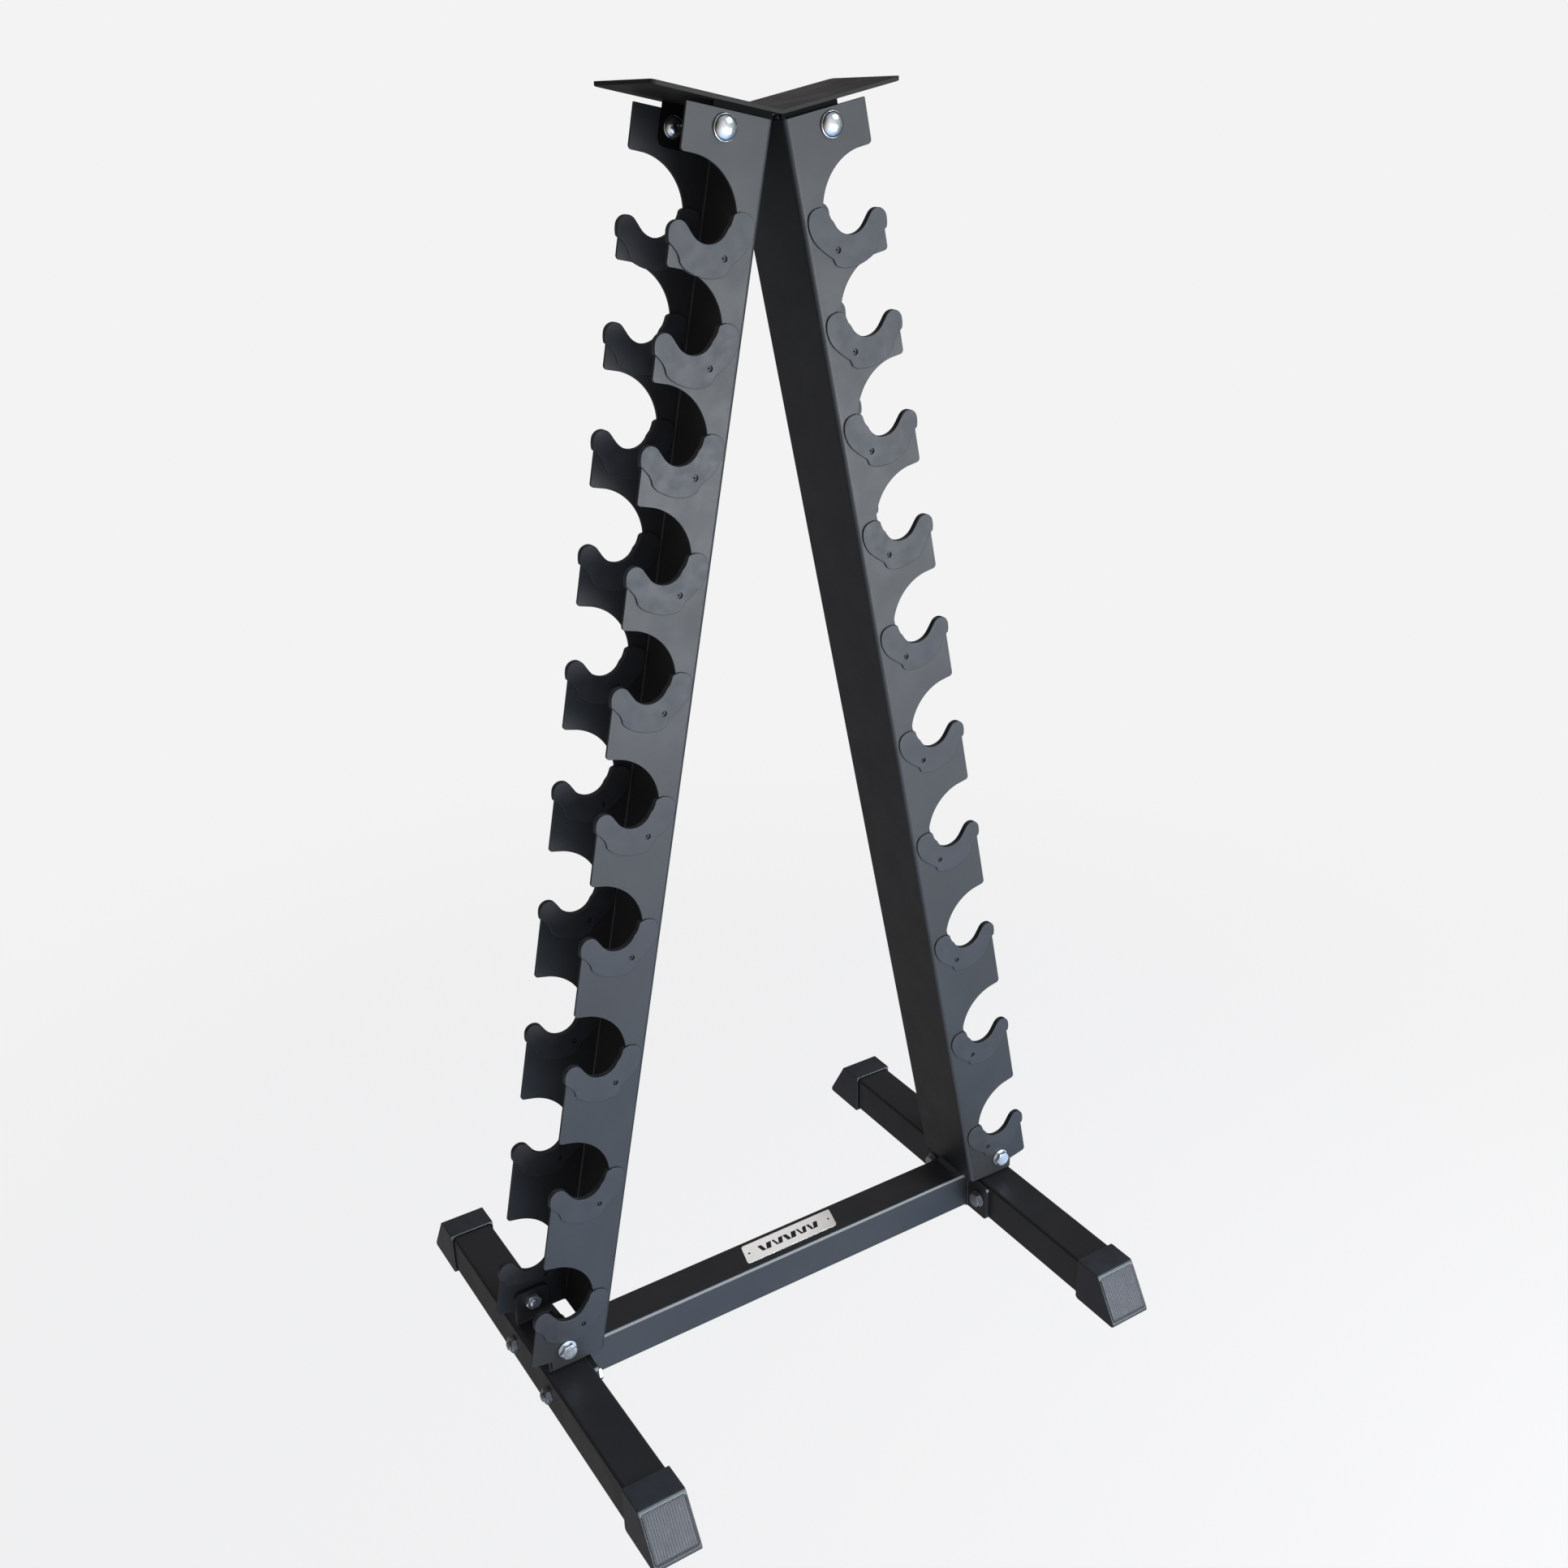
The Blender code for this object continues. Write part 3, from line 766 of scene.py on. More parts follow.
@dataclass(frozen=True)
class PowderCoat(Finish):
    """Black polyester powder coat, sprayed on steel and baked.

    The eye sees a satin black with faint orange peel, a finer grit on top of it and
    slow cloudiness in the gloss where the film is thicker or thinner.
    """

    dark: str = "#27282A"
    light: str = "#2D2E30"
    film_mm: float = 38.0
    peel_mm: float = 2.4
    peel_depth: float = 0.00012
    grit_mm: float = 0.9
    grit_depth: float = 0.00006
    cloud_mm: float = 90.0
    rough_low: float = 0.40
    rough_high: float = 0.50
    index: float = 1.5
    # Colour of a painted highlight on rounded edges that face forward and up; empty for none.
    painted_highlight: str = ""

    def material(self) -> Material:
        """Makes the material.

        Returns:
            The material.
        """
        made, tree, shader = self.start()
        where = add_node(tree, "ShaderNodeTexCoord").outputs["Object"]
        colour = self.tone(tree, where, self.cloud_mm, linear(self.dark), linear(self.light))
        if self.painted_highlight:
            colour = self.painted_edge_highlight(tree, colour)
        tree.links.new(colour, shader.inputs["Base Color"])
        film = add_node(tree, "ShaderNodeTexNoise", {
            "Vector": where, "Scale": per_metre(self.film_mm), "Detail": 4.0, "Roughness": 0.6,
        })
        gloss = add_node(tree, "ShaderNodeMapRange", {
            "Value": film.outputs["Fac"], **NOISE_BAND,
            "To Min": self.rough_low, "To Max": self.rough_high,
        }).outputs["Result"]
        tree.links.new(gloss, shader.inputs["Roughness"])
        peel = add_node(tree, "ShaderNodeTexNoise", {
            "Vector": where, "Scale": per_metre(self.peel_mm), "Detail": 2.0, "Roughness": 0.5,
        })
        # Real grit is about 0.1 mm; it is drawn coarser so that it still shows.
        grit = add_node(tree, "ShaderNodeTexNoise", {
            "Vector": where, "Scale": per_metre(self.grit_mm), "Detail": 3.0, "Roughness": 0.7,
        })
        coarse = add_node(tree, "ShaderNodeBump", {
            "Height": peel.outputs["Fac"], "Distance": self.peel_depth, "Strength": 0.35,
        }).outputs["Normal"]
        normal = add_node(tree, "ShaderNodeBump", {
            "Height": grit.outputs["Fac"], "Distance": self.grit_depth, "Strength": 0.45,
            "Normal": coarse,
        }).outputs["Normal"]
        tree.links.new(normal, shader.inputs["Normal"])
        shader.inputs["IOR"].default_value = self.index
        return made

    def painted_edge_highlight(
        self, tree: NodeTree, colour: Socket
    ) -> Socket:
        """Painted highlight: the film reads paler along rounded edges that face forward and up.

        Args:
            tree: Material tree.
            colour: Colour of the film on the flat faces.

        Returns:
            The socket of the colour with pale edges.
        """
        facing = add_node(tree, "ShaderNodeNewGeometry").outputs["Normal"]
        parts = add_node(tree, "ShaderNodeSeparateXYZ", {"Vector": facing})
        both = add_node(
            tree, "ShaderNodeMath", {0: parts.outputs["Y"], 1: parts.outputs["Z"]},
            operation="MULTIPLY",
        )
        share = add_node(
            tree, "ShaderNodeMapRange",
            {"Value": both.outputs[0], "From Min": -0.28, "From Max": -0.47},
            interpolation_type="SMOOTHSTEP",
        )
        mix = add_node(
            tree, "ShaderNodeMix",
            {"Factor": share.outputs["Result"], 6: colour, 7: linear(self.painted_highlight)},
            data_type="RGBA",
        )
        return mix.outputs[2]


@dataclass(frozen=True)
class MouldedPlastic(Finish):
    """Injection-moulded polypropylene with a spark-eroded tool texture.

    The eye sees a matt, even charcoal with a fine leathery grain and slightly paler
    flow clouds; edges stay a touch smoother than the faces.
    """

    dark: str = "#2B2D31"
    light: str = "#313338"
    cloud_mm: float = 24.0
    film_mm: float = 12.0
    grain_mm: float = 1.1
    rough_low: float = 0.42
    rough_high: float = 0.55
    grain_depth: float = 0.00008
    # Colour of a painted highlight band on the upper edge of raked end faces; empty for none.
    lip: str = ""
    highlight_band_height: float = 0.0508

    def material(self) -> Material:
        """Makes the material.

        Returns:
            The material.
        """
        made, tree, shader = self.start()
        where = add_node(tree, "ShaderNodeTexCoord").outputs["Object"]
        colour = self.tone(tree, where, self.cloud_mm, linear(self.dark), linear(self.light))
        if self.lip:
            colour = self.painted_highlight_band(tree, where, colour)
        tree.links.new(colour, shader.inputs["Base Color"])
        film = add_node(tree, "ShaderNodeTexNoise", {
            "Vector": where, "Scale": per_metre(self.film_mm), "Detail": 3.0,
        })
        gloss = add_node(tree, "ShaderNodeMapRange", {
            "Value": film.outputs["Fac"], **NOISE_BAND,
            "To Min": self.rough_low, "To Max": self.rough_high,
        }).outputs["Result"]
        tree.links.new(gloss, shader.inputs["Roughness"])
        # Tool texture is 0.1 to 0.3 mm; it is drawn near 1 mm so that it still shows.
        cells = add_node(
            tree, "ShaderNodeTexVoronoi",
            {"Vector": where, "Scale": per_metre(self.grain_mm), "Smoothness": 0.6},
            feature="SMOOTH_F1",
        )
        normal = add_node(tree, "ShaderNodeBump", {
            "Height": cells.outputs["Distance"], "Distance": self.grain_depth, "Strength": 0.4,
        }).outputs["Normal"]
        tree.links.new(normal, shader.inputs["Normal"])
        shader.inputs["IOR"].default_value = 1.49
        return made

    def painted_highlight_band(
        self,
        tree: NodeTree,
        where: Socket,
        colour: Socket,
    ) -> Socket:
        """Painted highlight: a paler band along the upper edge of the raked end faces.

        Args:
            tree: Material tree.
            where: Socket with the surface position.
            colour: Colour of the plastic elsewhere.

        Returns:
            The socket of the colour with the band.
        """
        height = add_node(tree, "ShaderNodeSeparateXYZ", {"Vector": where}).outputs["Z"]
        band = add_node(tree, "ShaderNodeMapRange", {
            "Value": height, "From Min": self.highlight_band_height, "From Max": self.highlight_band_height + 0.0010,
        })
        facing = add_node(tree, "ShaderNodeNewGeometry").outputs["Normal"]
        forward = add_node(tree, "ShaderNodeSeparateXYZ", {"Vector": facing}).outputs["Y"]
        slant = add_node(tree, "ShaderNodeMath", {0: forward}, operation="ABSOLUTE")
        raked = add_node(tree, "ShaderNodeMapRange", {
            "Value": slant.outputs[0], "From Min": 0.35, "From Max": 0.60,
        })
        share = add_node(
            tree, "ShaderNodeMath",
            {0: band.outputs["Result"], 1: raked.outputs["Result"]}, operation="MULTIPLY",
        )
        mix = add_node(
            tree, "ShaderNodeMix",
            {"Factor": share.outputs[0], 6: colour, 7: linear(self.lip)}, data_type="RGBA",
        )
        return mix.outputs[2]


@dataclass(frozen=True)
class Plated(Finish):
    """Metal plating on a steel fastener: bright chrome or clear-passivated zinc.

    Chrome is a satin mirror with a faint warm-grey body and tiny polishing waves. Zinc
    is softer and slightly blue, with a crystalline mottling.
    """

    dark: str = "#C9CACB"
    light: str = "#DCDDDE"
    mottle_mm: float = 3.0
    rough_low: float = 0.15
    rough_high: float = 0.22
    wave_mm: float = 1.6
    wave_depth: float = 0.00001

    def material(self) -> Material:
        """Makes the material.

        Returns:
            The material.
        """
        made, tree, shader = self.start()
        where = add_node(tree, "ShaderNodeTexCoord").outputs["Object"]
        colour = self.tone(tree, where, self.mottle_mm, linear(self.dark), linear(self.light))
        tree.links.new(colour, shader.inputs["Base Color"])
        mottle = add_node(tree, "ShaderNodeTexNoise", {
            "Vector": where, "Scale": per_metre(self.mottle_mm), "Detail": 4.0,
        })
        gloss = add_node(tree, "ShaderNodeMapRange", {
            "Value": mottle.outputs["Fac"], **NOISE_BAND,
            "To Min": self.rough_low, "To Max": self.rough_high,
        }).outputs["Result"]
        tree.links.new(gloss, shader.inputs["Roughness"])
        wave = add_node(tree, "ShaderNodeTexNoise", {
            "Vector": where, "Scale": per_metre(self.wave_mm), "Detail": 2.0,
        })
        normal = add_node(tree, "ShaderNodeBump", {
            "Height": wave.outputs["Fac"], "Distance": self.wave_depth, "Strength": 0.5,
        }).outputs["Normal"]
        tree.links.new(normal, shader.inputs["Normal"])
        shader.inputs["Metallic"].default_value = 1.0
        return made


@dataclass(frozen=True)
class BrushedFoil(Finish):
    """Brushed aluminium label stock: bright silver with fine lines along its length."""

    dark: str = "#DCDDDE"
    light: str = "#EDEDEE"

    def material(self) -> Material:
        """Makes the material.

        Returns:
            The material.
        """
        made, tree, shader = self.start()
        where = add_node(tree, "ShaderNodeTexCoord").outputs["Object"]
        # Brushing lines are about 0.2 mm apart and some 40 mm long, drawn at 0.5 mm.
        along = add_node(tree, "ShaderNodeMapping", {
            "Vector": where, "Scale": (per_metre(40.0), per_metre(0.5), per_metre(0.5)),
        })
        lines = add_node(tree, "ShaderNodeTexNoise", {
            "Vector": along.outputs["Vector"], "Scale": 1.0, "Detail": 3.0, "Roughness": 0.6,
        })
        mix = add_node(
            tree, "ShaderNodeMix",
            {"Factor": lines.outputs["Fac"], 6: linear(self.dark), 7: linear(self.light)},
            data_type="RGBA",
        )
        tree.links.new(mix.outputs[2], shader.inputs["Base Color"])
        gloss = add_node(tree, "ShaderNodeMapRange", {
            "Value": lines.outputs["Fac"], **NOISE_BAND, "To Min": 0.13, "To Max": 0.17,
        }).outputs["Result"]
        tree.links.new(gloss, shader.inputs["Roughness"])
        normal = add_node(tree, "ShaderNodeBump", {
            "Height": lines.outputs["Fac"], "Distance": 0.000005, "Strength": 0.10,
        }).outputs["Normal"]
        tree.links.new(normal, shader.inputs["Normal"])
        shader.inputs["Metallic"].default_value = 1.0
        return made


@dataclass(frozen=True)
class PrintingInk(Finish):
    """Screen-printed black ink: slightly glossy, a little uneven where it is thin."""

    dark: str = "#1B1B1C"
    light: str = "#2A2A2B"

    def material(self) -> Material:
        """Makes the material.

        Returns:
            The material.
        """
        made, tree, shader = self.start()
        where = add_node(tree, "ShaderNodeTexCoord").outputs["Object"]
        colour = self.tone(tree, where, 4.0, linear(self.dark), linear(self.light))
        tree.links.new(colour, shader.inputs["Base Color"])
        film = add_node(tree, "ShaderNodeTexNoise", {
            "Vector": where, "Scale": per_metre(1.5), "Detail": 2.0,
        })
        gloss = add_node(tree, "ShaderNodeMapRange", {
            "Value": film.outputs["Fac"], **NOISE_BAND, "To Min": 0.38, "To Max": 0.55,
        }).outputs["Result"]
        tree.links.new(gloss, shader.inputs["Roughness"])
        return made


# ---------------------------------------------------------------- pieces


@dataclass
class Piece:
    """One finished piece of the rack, made from mesh data."""

    name: str
    data: Mesh
    finish: Material
    slot: str
    nodes: Sequence[str] = ()
    edge: float = 0.0
    edge_steps: int = 2
    crease: float = 40.0

    def fit(self) -> Object:
        """Rounds its edges, dresses it and mounts it on the rack.

        Returns:
            The finished object.
        """
        bench = held(self.data)
        bench.name = f"{self.name}_bench"
        self.data.shade_smooth()
        if self.edge > 0.0:
            rounding = bench.modifiers.new("edges", "BEVEL")
            rounding.width = self.edge
            rounding.segments = self.edge_steps
            rounding.limit_method = "ANGLE"
            rounding.angle_limit = math.radians(self.crease)
            rounding.use_clamp_overlap = False
            rounding.miter_outer = "MITER_ARC"
        self.data.set_sharp_from_angle(angle=math.radians(self.crease))
        shading = bench.modifiers.new("shading", "WEIGHTED_NORMAL")
        shading.keep_sharp = self.edge <= 0.0
        made = worked(bench)
        made.name = self.name
        made.materials.clear()
        made.materials.append(self.finish)
        obj = linked(self.name, made)
        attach(obj, ROOT)
        if self.nodes:
            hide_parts(*self.nodes)
        LOG.info("%s: %d faces", self.name, len(made.polygons))
        return obj


@dataclass
class Channel:
    """One leaning channel and its own axes: w runs out from the web, s runs up it."""

    lean: float = math.radians(11.5)
    web_x: float = 0.2756
    sheet: float = 0.003
    depth: float = 0.100
    flange: float = 0.089
    bend: float = 0.005
    start: float = 0.030
    top: float = 1.3547
    bottom_z: float = 0.062
    tooth_bottom: float = 0.0622
    tab_side_x: float = 0.3262
    fit: float = 0.0003
    notch_tops: tuple[float, ...] = (
        1.3143, 1.2183, 1.1186, 1.0072, 0.8901, 0.7622, 0.6299, 0.4864, 0.3398, 0.1866,
    )
    top_bolt: Point = (0.0485, 1.3399)
    low_bolt: Point = (0.0482, 0.0762)

    @property
    def flange_mid(self) -> float:
        """Distance of a flange's middle from the rack's centre plane."""
        return self.depth / 2 - self.sheet / 2

    @property
    def inner_face(self) -> float:
        """Distance of the faces that fit inside the channel from the centre plane."""
        return self.depth / 2 - self.sheet - self.fit

    def world(self, w: float, s: float) -> Point:
        """Place in the XZ plane of a point given in the channel's axes.

        Args:
            w: Distance out from the web.
            s: Distance up the channel.

        Returns:
            X and Z.
        """
        return (
            self.web_x + w * math.cos(self.lean) - s * math.sin(self.lean),
            w * math.sin(self.lean) + s * math.cos(self.lean),
        )

    def local(self, x: float, z: float) -> Point:
        """Point in the channel's axes of a place in the XZ plane.

        Args:
            x: Place along X.
            z: Height.

        Returns:
            Distances w and s.
        """
        dx = x - self.web_x
        return (
            dx * math.cos(self.lean) + z * math.sin(self.lean),
            z * math.cos(self.lean) - dx * math.sin(self.lean),
        )

    def matrix(self) -> Matrix:
        """Turns the channel's axes into the rack's frame, on the right-hand side."""
        return Matrix.Translation((self.web_x, 0.0, 0.0)) @ Matrix.Rotation(-self.lean, 4, "Y")


def nodes_of(*patterns: str) -> list[str]:
    """Names of the CAD nodes that start with any of the patterns."""
    return sorted(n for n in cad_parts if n.startswith(patterns))


@dataclass
class Uprights:
    """Two folded channels with ten open notches in each flange."""

    channel: Channel
    coat: Material
    tooth_radius: float = 0.004
    sweep_centre: Point = (0.077, -0.0535)
    sweep_radius: float = 0.0535
    cradle_centre: Point = (0.050, -0.0515)
    cradle_radius: float = 0.0265
    horn_centre: Point = (0.0815, -0.0655)
    horn_radius: float = 0.0075
    tangent: float = 326.5
    edge: float = 0.0005

    def notch(self) -> list[Point]:
        """Outline of one notch, measured from its upper edge.

        Returns:
            The outline in (w, s).
        """
        out = self.channel.flange + 0.015
        edge = self.channel.flange - self.tooth_radius + 0.00005
        points = [(out, self.tooth_radius)]
        points += arc((edge, self.tooth_radius), self.tooth_radius, 0.0, -90.0, 5)
        points.append((self.sweep_centre[0] + 0.004, 0.0))
        points += arc(self.sweep_centre, self.sweep_radius, 95.0, 180.0, 22)
        points += arc(self.cradle_centre, self.cradle_radius, 187.0, self.tangent, 16)
        points += arc(self.horn_centre, self.horn_radius, self.tangent - 180.0, 0.0, 9)[:-1]
        low = self.horn_centre[1] - 0.0008
        points += [(self.channel.flange + 0.00005, low), (out, low)]
        return points

    def foot_end(self) -> list[Point]:
        """Region that the channel's lower end is trimmed away by.

        Returns:
            The region's outline in (w, s).
        """
        out = self.channel.flange + 0.015
        edge = self.channel.flange - self.tooth_radius + 0.00005
        low = self.channel.tooth_bottom
        lean = self.channel.lean
        points = [(out, low + self.tooth_radius)]
        points += arc((edge, low + self.tooth_radius), self.tooth_radius, 0.0, -90.0, 5)
        side = self.channel.tab_side_x - self.channel.web_x + low * math.sin(lean)
        points.append((side / math.cos(lean), low))
        points.append(self.channel.local(self.channel.tab_side_x, self.channel.bottom_z))
        points.append(self.channel.local(self.channel.web_x - 0.04, self.channel.bottom_z))
        return [*points, (-0.04, -0.02), (out, -0.02)]

    def section(self) -> list[Point]:
        """U-shaped section in (w, y).

        Returns:
            The outline.
        """
        half = self.channel.depth / 2
        inner = half - self.channel.sheet
        bend = self.channel.bend
        tight = bend - self.channel.sheet
        reach = self.channel.flange
        points = [(reach, -half)]
        points += arc((bend, bend - half), bend, 270.0, 180.0, 7)
        points += arc((bend, half - bend), bend, 180.0, 90.0, 7)
        points += [(reach, half), (reach, inner)]
        points += arc((bend, half - bend), tight, 90.0, 180.0, 5)
        points += arc((bend, bend - half), tight, 180.0, 270.0, 5)
        return [*points, (reach, -inner)]

    def right(self) -> Mesh:
        """Right-hand channel in the rack's frame.

        Returns:
            The channel's mesh.
        """
        reach = self.channel.depth / 2 + 0.01
        blank = Blank().prism(self.section(), self.channel.start, self.channel.top, Along.Z)
        cutter = held(Blank().prism(self.notch(), -reach, reach, Along.Y).data("notch_cutter"))
        rows = bpy.data.meshes.new("notch_places")
        rows.from_pydata([(0.0, 0.0, top) for top in self.channel.notch_tops], [], [])
        places = held(rows)
        data = row_cut_tree().run(
            blank.data("upright_right"),
            {"Notches": places, "Cutter": cutter, "Finish": self.coat},
            places, cutter,
        )
        foot = Blank().prism(self.foot_end(), -reach, reach, Along.Y).data("foot_cutter")
        data = combined(cleaned(data), foot, "DIFFERENCE")
        data.transform(self.channel.matrix())
        return data

    def build(self) -> None:
        """Makes and mounts both channels."""
        right = self.right()
        left = reflected(right, "upright_left", 0)
        for side, data in (("right", right), ("left", left)):
            name = f"upright_{side}"
            Piece(
                f"{name}_sheet", data, self.coat, SLOT_COAT, (name,), self.edge
            ).fit()


@dataclass
class Liners:
    """Forty moulded clips, one over the lower edge of every notch."""

    channel: Channel
    uprights: Uprights
    plastic: Material
    lip: float = 0.0015
    grip_centre: Point = (0.0529, -0.0514)
    grip_radius: float = 0.0205
    horn_centre: Point = (0.0819, -0.0657)
    horn_radius: float = 0.0103
    tangent: float = 316.1
    pin_place: Point = (0.0324, -0.0815)
    pin_hole: float = 0.0028
    pin_head: float = 0.0010
    pin_depth: float = 0.0018
    bolt_relief: float = 0.0118
    tab_top: float = 0.1000
    edge: float = 0.0007

    def outline(self) -> list[Point]:
        """Outer shape, measured from the notch's upper edge.

        Returns:
            The outline in (w, s).
        """
        points = [(0.0270, -0.0422), (0.0286, -0.0441), (0.0291, -0.0478), (0.0304, -0.0525)]
        points += arc(self.grip_centre, self.grip_radius, 195.0, self.tangent, 14)
        points += arc(self.horn_centre, self.horn_radius, self.tangent - 180.0, 0.0, 10)
        points += eased([
            (0.0920, -0.0690), (0.0915, -0.0722), (0.0903, -0.0756), (0.0886, -0.0764),
            (0.0812, -0.0825), (0.0780, -0.0873), (0.0765, -0.0912),
        ], 2)
        points += eased([
            (0.0745, -0.0933), (0.0690, -0.0967), (0.0580, -0.1000), (0.0450, -0.1008),
            (0.0330, -0.0980), (0.0276, -0.0945),
        ], 3)
        points += eased([
            (0.0255, -0.0880), (0.0165, -0.0792), (0.0088, -0.0692), (0.0050, -0.0570),
            (0.0066, -0.0462), (0.0125, -0.0408), (0.0215, -0.0399),
        ], 3)
        return points

    def slot(self) -> list[Point]:
        """Flange with clearance round one cradle.

        Returns:
            The slot's outline in (w, s).
        """
        fit = self.channel.fit
        shape = self.uprights
        edge = self.channel.flange + fit
        points = arc(shape.sweep_centre, shape.sweep_radius - fit, 156.0, 178.0, 5)
        points += arc(
            shape.cradle_centre, shape.cradle_radius - fit, 188.0, shape.tangent, 14
        )
        points += arc(
            shape.horn_centre, shape.horn_radius + fit, shape.tangent - 180.0, 0.0, 8
        )
        return [*points, (edge, -0.115), (-0.005, -0.115), (-0.005, shape.sweep_centre[1] + 0.03)]

    def clip(self) -> Mesh:
        """One common liner in the channel's axes, with a ring-shaped pin hole in each face.

        Returns:
            The liner's mesh.
        """
        inside = self.channel.sheet / 2 + self.channel.fit
        half = inside + self.lip
        data = Blank().prism(self.outline(), -half, half, Along.Y).data("liner")
        tool = Blank().prism(self.slot(), -inside, inside, Along.Y).data("liner_slot")
        data = combined(data, tool, "DIFFERENCE")
        pins = Blank()
        for face in (-1, 1):
            outer = arc(self.pin_place, self.pin_hole, 0.0, 345.0, 23)
            head = arc(self.pin_place, self.pin_head, 0.0, 345.0, 23)
            floor = face * (half - self.pin_depth)
            pins.loop((
                (outer, face * (half + 0.001)), (outer, floor),
                (head, floor), (head, face * (half + 0.001)),
            ), Along.Y)
        return combined(data, pins.data("pin_holes"), "DIFFERENCE")

    def lowest(self, clip: Mesh) -> Mesh:
        """Bottom front liner, relieved round the low bolt and the bracket's tab.

        Args:
            clip: Mesh of a common liner.

        Returns:
            The relieved liner in the rack's frame.
        """
        drop = self.channel.notch_tops[-1]
        centre = (self.channel.low_bolt[0], self.channel.low_bolt[1] - drop)
        low = self.tab_top - drop
        box = [(-0.001, low), (0.099, low), (0.099, low - 0.06), (-0.001, low - 0.06)]
        bolt = Blank().prism(arc(centre, self.bolt_relief, 0.0, 350.0, 35), -0.006, 0.006, Along.Y)
        tab = Blank().prism(box, 0.001, 0.007, Along.Y)
        data = combined(clip.copy(), bolt.data("bolt_relief"), "DIFFERENCE")
        data = combined(data, tab.data("tab_relief"), "DIFFERENCE")
        x, z = self.channel.world(0.0, drop)
        data.transform(
            Matrix.Translation((x, -self.channel.flange_mid, z))
            @ Matrix.Rotation(-self.channel.lean, 4, "Y")
        )
        return data

    def build(self) -> None:
        """Makes the right-hand twenty, reflects them and mounts both sets."""
        clip = self.clip()
        low_front = self.lowest(clip)
        low_rear = reflected(low_front, "low_rear", 1)
        places = []
        for end in End:
            for top in self.channel.notch_tops[:-1]:
                x, z = self.channel.world(0.0, top)
                spot = Vector((x, end.value * self.channel.flange_mid, z))
                places.append((spot, (0.0, -self.channel.lean, 0.0)))
        many = Copies(clip, self.plastic).at(places)
        right = gathered("liners_right", (many, low_front, low_rear))
        left = reflected(right, "liners_left", 0)
        for side, data in (("right", right), ("left", left)):
            Piece(
                f"notch_liners_{side}", data, self.plastic, SLOT_LINER,
                nodes_of(f"liner_{side}"), self.edge,
            ).fit()


@dataclass
class Copies:
    """The same shape set down at several places."""

    shape: Mesh
    finish: Material

    def at(self, places: Sequence[tuple[Vector, tuple[float, float, float]]]) -> Mesh:
        """Sets the shape at each place.

        Args:
            places: Position and turning angles of each copy.

        Returns:
            All copies as one mesh in the rack's frame.
        """
        spots = bpy.data.meshes.new("places")
        spots.from_pydata([spot for spot, _ in places], [], [])
        turns = spots.attributes.new("turn", "FLOAT_VECTOR", "POINT")
        for index, (_, turn) in enumerate(places):
            turns.data[index].vector = turn
        master = held(self.shape)
        return copies_tree().run(spots, {"Shape": master, "Finish": self.finish}, master)


@dataclass
class TopPlate:
    """Shallow V plate with four ears that reach down inside the channels."""

    channel: Channel
    coat: Material
    # Near-black coat for the ears: painted shade in the gap under the plate's front and rear edges.
    painted_shade_coat: Material
    under: float = 1.3602
    thick: float = 0.004
    reach: float = 0.1275
    half_depth: float = 0.056
    bend: float = 0.012
    corner: float = 0.006
    ear_start: float = 0.0065
    ear_reach: float = 0.061
    ear_bottom: float = 1.3215
    ear_thick: float = 0.004
    edge: float = 0.0006

    def section(self) -> list[Point]:
        """Section in XZ: two straight wings and a rounded valley.

        Returns:
            The outline in (x, z).
        """
        turn = math.degrees(self.channel.lean)
        under = self.channel.world(0.0, self.under)
        valley = under[1] - under[0] * math.tan(self.channel.lean)
        outer = self.bend + self.thick
        centre = (0.0, valley + outer / math.cos(self.channel.lean))
        low = self.channel.world(self.reach, self.under)
        high = self.channel.world(self.reach, self.under + self.thick)
        points = [(-low[0], low[1])]
        points += arc(centre, outer, 270.0 - turn, 270.0 + turn, 8)
        points += [low, high]
        points += arc(centre, self.bend, 270.0 + turn, 270.0 - turn, 8)
        return [*points, (-high[0], high[1])]

    def plan(self) -> list[Point]:
        """Plan in XY, with rounded corners."""
        width = 2 * self.channel.world(self.reach, self.under)[0]
        return rounded_box((0.0, 0.0), width, 2 * self.half_depth, self.corner, 6)

    def build(self) -> None:
        """Makes and mounts the plate."""
        half = self.half_depth
        plate = Blank().prism(self.section(), -half - 0.01, half + 0.01, Along.Y).data("plate")
        plan = Blank().prism(self.plan(), 1.30, 1.40, Along.Z).data("plan")
        data = combined(plate, plan, "INTERSECT")
        ears = Blank()
        low, top = self.ear_bottom, self.under + 0.001
        clear = self.channel.top + self.channel.fit
        valley = self.channel.top * math.tan(self.channel.lean) - self.channel.web_x
        shape = [(valley / math.cos(self.channel.lean), top), (-0.0010, clear)]
        shape += [(self.ear_start, clear), (self.ear_start, low + 0.004)]
        shape += arc((self.ear_start + 0.006, low + 0.006), 0.006, 180.0, 270.0, 5)[1:]
        shape += arc((self.ear_reach - 0.008, low + 0.008), 0.008, 270.0, 360.0, 6)
        shape.append((self.ear_reach, top))
        for side in Side:
            outline = [self.channel.world(w, s) for w, s in shape]
            outline = [(side.value * u, v) for u, v in outline]
            for end in End:
                face = end.value * self.channel.inner_face
                ears.prism(outline, face, face - end.value * self.ear_thick, Along.Y)
        Piece("top_plate_sheet", data, self.coat, SLOT_COAT, ("top_plate",), self.edge).fit()
        # The ears wear the near-black coat, painted shade in the gap under the plate.
        Piece("top_plate_ears", ears.data("ears"), self.painted_shade_coat, SLOT_COAT, (), 0.0003).fit()


